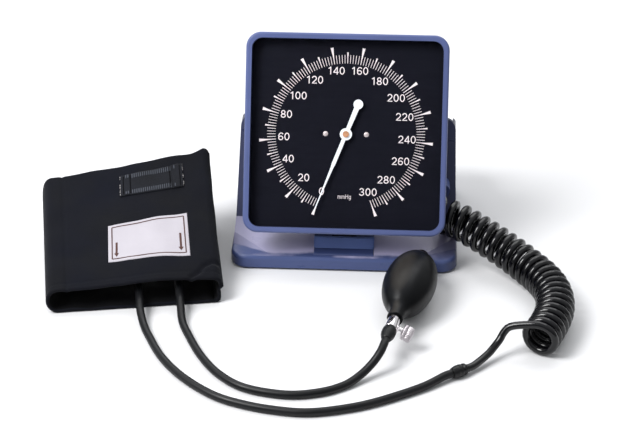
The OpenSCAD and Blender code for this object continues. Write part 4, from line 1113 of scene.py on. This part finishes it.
# Middle lines of the figures in a box one high, with their widths
STROKES = {
    "0": (0.66, [arc(0.33, 0.5, 0.26, 0.435, 90, 450, 32)]),
    "1": (0.40, [[(0.33, 0), (0.33, 0.99)], [(0.345, 0.97), (0.24, 0.86), (0.06, 0.755)]]),
    "2": (0.66, [arc(0.33, 0.68, 0.25, 0.255, 172, -32, 16)
                 + [(0.4, 0.38), (0.2, 0.2), (0.09, 0.068), (0.65, 0.068)]]),
    "3": (0.66, [arc(0.31, 0.71, 0.22, 0.225, 168, -88, 14),
                 arc(0.31, 0.28, 0.265, 0.215, 90, -168, 16), [(0.24, 0.49), (0.33, 0.49)]]),
    "4": (0.68, [[(0.5, 0), (0.5, 0.985)], [(0.5, 0.955), (0.06, 0.3)],
                 [(0.03, 0.275), (0.68, 0.275)]]),
    "6": (0.66, [arc(0.335, 0.3, 0.255, 0.235, 180, 540, 26),
                 arc(0.38, 0.52, 0.3, 0.415, 188, 40, 14)]),
    "8": (0.66, [arc(0.33, 0.27, 0.26, 0.205, 0, 360, 26),
                 arc(0.33, 0.72, 0.215, 0.215, 0, 360, 24)]),
    "m": (1.0, [[(0.07, 0), (0.07, 0.72)], arc(0.285, 0.5, 0.215, 0.16, 180, 0, 8) + [(0.5, 0)],
                arc(0.715, 0.5, 0.215, 0.16, 180, 0, 8) + [(0.93, 0)]]),
    "H": (0.8, [[(0.07, 0), (0.07, 1)], [(0.73, 0), (0.73, 1)], [(0.07, 0.53), (0.73, 0.53)]]),
    "g": (0.66, [arc(0.32, 0.36, 0.25, 0.3, 0, 360, 20), [(0.58, 0.71), (0.58, -0.05)],
                 arc(0.32, -0.05, 0.26, 0.2, 0, -150, 10)]),
}


def word(text, x, z, height, stroke, stretch, advance=None, gap=0):
    """Figures centred on a point of the dial, spaced by advance or by their own width and a gap."""
    widths = [advance or STROKES[c][0] + gap for c in text]
    at = -sum(widths) / 2
    polys = []
    for c, width in zip(text, widths):
        w, lines = STROKES[c]
        left = at + (width - w) / 2
        for line in lines:
            pts = [(x + (left + px) * height * stretch, z + (py - 0.5) * height) for px, py in line]
            polys += ribbon(pts, stroke)
        at += width
    return polys


# Middles of the numbers on the dial, from the spindle
NUMBER_AT = {
    0: (-20.6, -51.3), 20: (-36.8, -39.4), 40: (-51.0, -22.9), 60: (-55.3, -3.3),
    80: (-53.5, 16.7), 100: (-43.6, 33.4), 120: (-29.3, 47.7), 140: (-10.3, 56.2),
    160: (10.6, 56.4), 180: (28.4, 47.7), 200: (43.7, 33.2), 220: (51.7, 16.5),
    240: (54.3, -3.5), 260: (49.0, -22.9), 280: (36.7, -39.7), 300: (20.8, -51.0),
}


def figures():
    """The numbers of the scale and its unit."""
    polys = []
    for value, (x, z) in NUMBER_AT.items():
        polys += word(str(value), x, z, height=6.9, stroke=0.8, stretch=1.03, advance=0.777)
    polys += word("mmHg", -0.2, -55.6, height=3.9, stroke=0.36, stretch=0.76, gap=0.17)
    dial_polys("dial_figures", polys)


figures()

# ---------------------------------------------------------------- floor and light

FLOOR_HALF = 7


def make_studio():
    """A pale paper floor."""
    mat, tree, bsdf = nodes_of("studio_paper")
    greys = [(0.3, (0.66, 0.66, 0.67)), (0.7, (0.7, 0.7, 0.71))]
    paper = ramp(tree, noise_tex(tree, coords(tree), 3, 2), greys)
    tree.links.new(paper, bsdf.inputs["Base Color"])
    bsdf.inputs["Roughness"].default_value = 0.9
    bsdf.inputs["Specular IOR Level"].default_value = 0.1
    mesh = bpy.data.meshes.new("studio_floor")
    corners = [(x * FLOOR_HALF, y * FLOOR_HALF, 0) for x, y in CORNERS]
    mesh.from_pydata(corners, [], [(0, 1, 2, 3)])
    mesh.materials.append(mat)
    new_object("studio_floor", mesh)


def area(name, at, target, size, power):
    """A rectangular lamp that shines at a target."""
    data = bpy.data.lights.new(name, "AREA")
    data.shape = "RECTANGLE"
    data.size, data.size_y = size
    data.energy = power
    obj = new_object(name, data)
    obj.location = at
    aim(obj, Vector(target) - Vector(at))


def make_world():
    """A pale sky, brighter above and behind."""
    world = bpy.data.worlds.new("studio")
    bpy.context.scene.world = world
    world.use_nodes = True
    tree = world.node_tree
    seen = split(tree, add(tree, "ShaderNodeTexCoord").outputs["Generated"])
    up = plus(tree, combine(tree, "MULTIPLY", seen["Z"], 0.8), seen["Y"], 0.35)
    sky = tree.nodes["Background"]
    tree.links.new(spread(tree, up, 0.26, 0.78, -0.1, 0.7), sky.inputs["Strength"])
    sky.inputs["Color"].default_value = (0.96, 0.98, 1, 1)


make_studio()
area("key_left", at=(-1.1, -0.75, 1.7), target=(0, -0.05, 0.05), size=(0.9, 0.9), power=46)
area("back_box", at=(0.1, 1.2, 1.9), target=(0, 0, 0.05), size=(2.4, 1.8), power=30)
area("left_small", at=(-1.1, -0.8, 0.9), target=(0, -0.1, 0.05), size=(0.25, 0.25), power=3)
make_world()

bpy.context.view_layer.update()
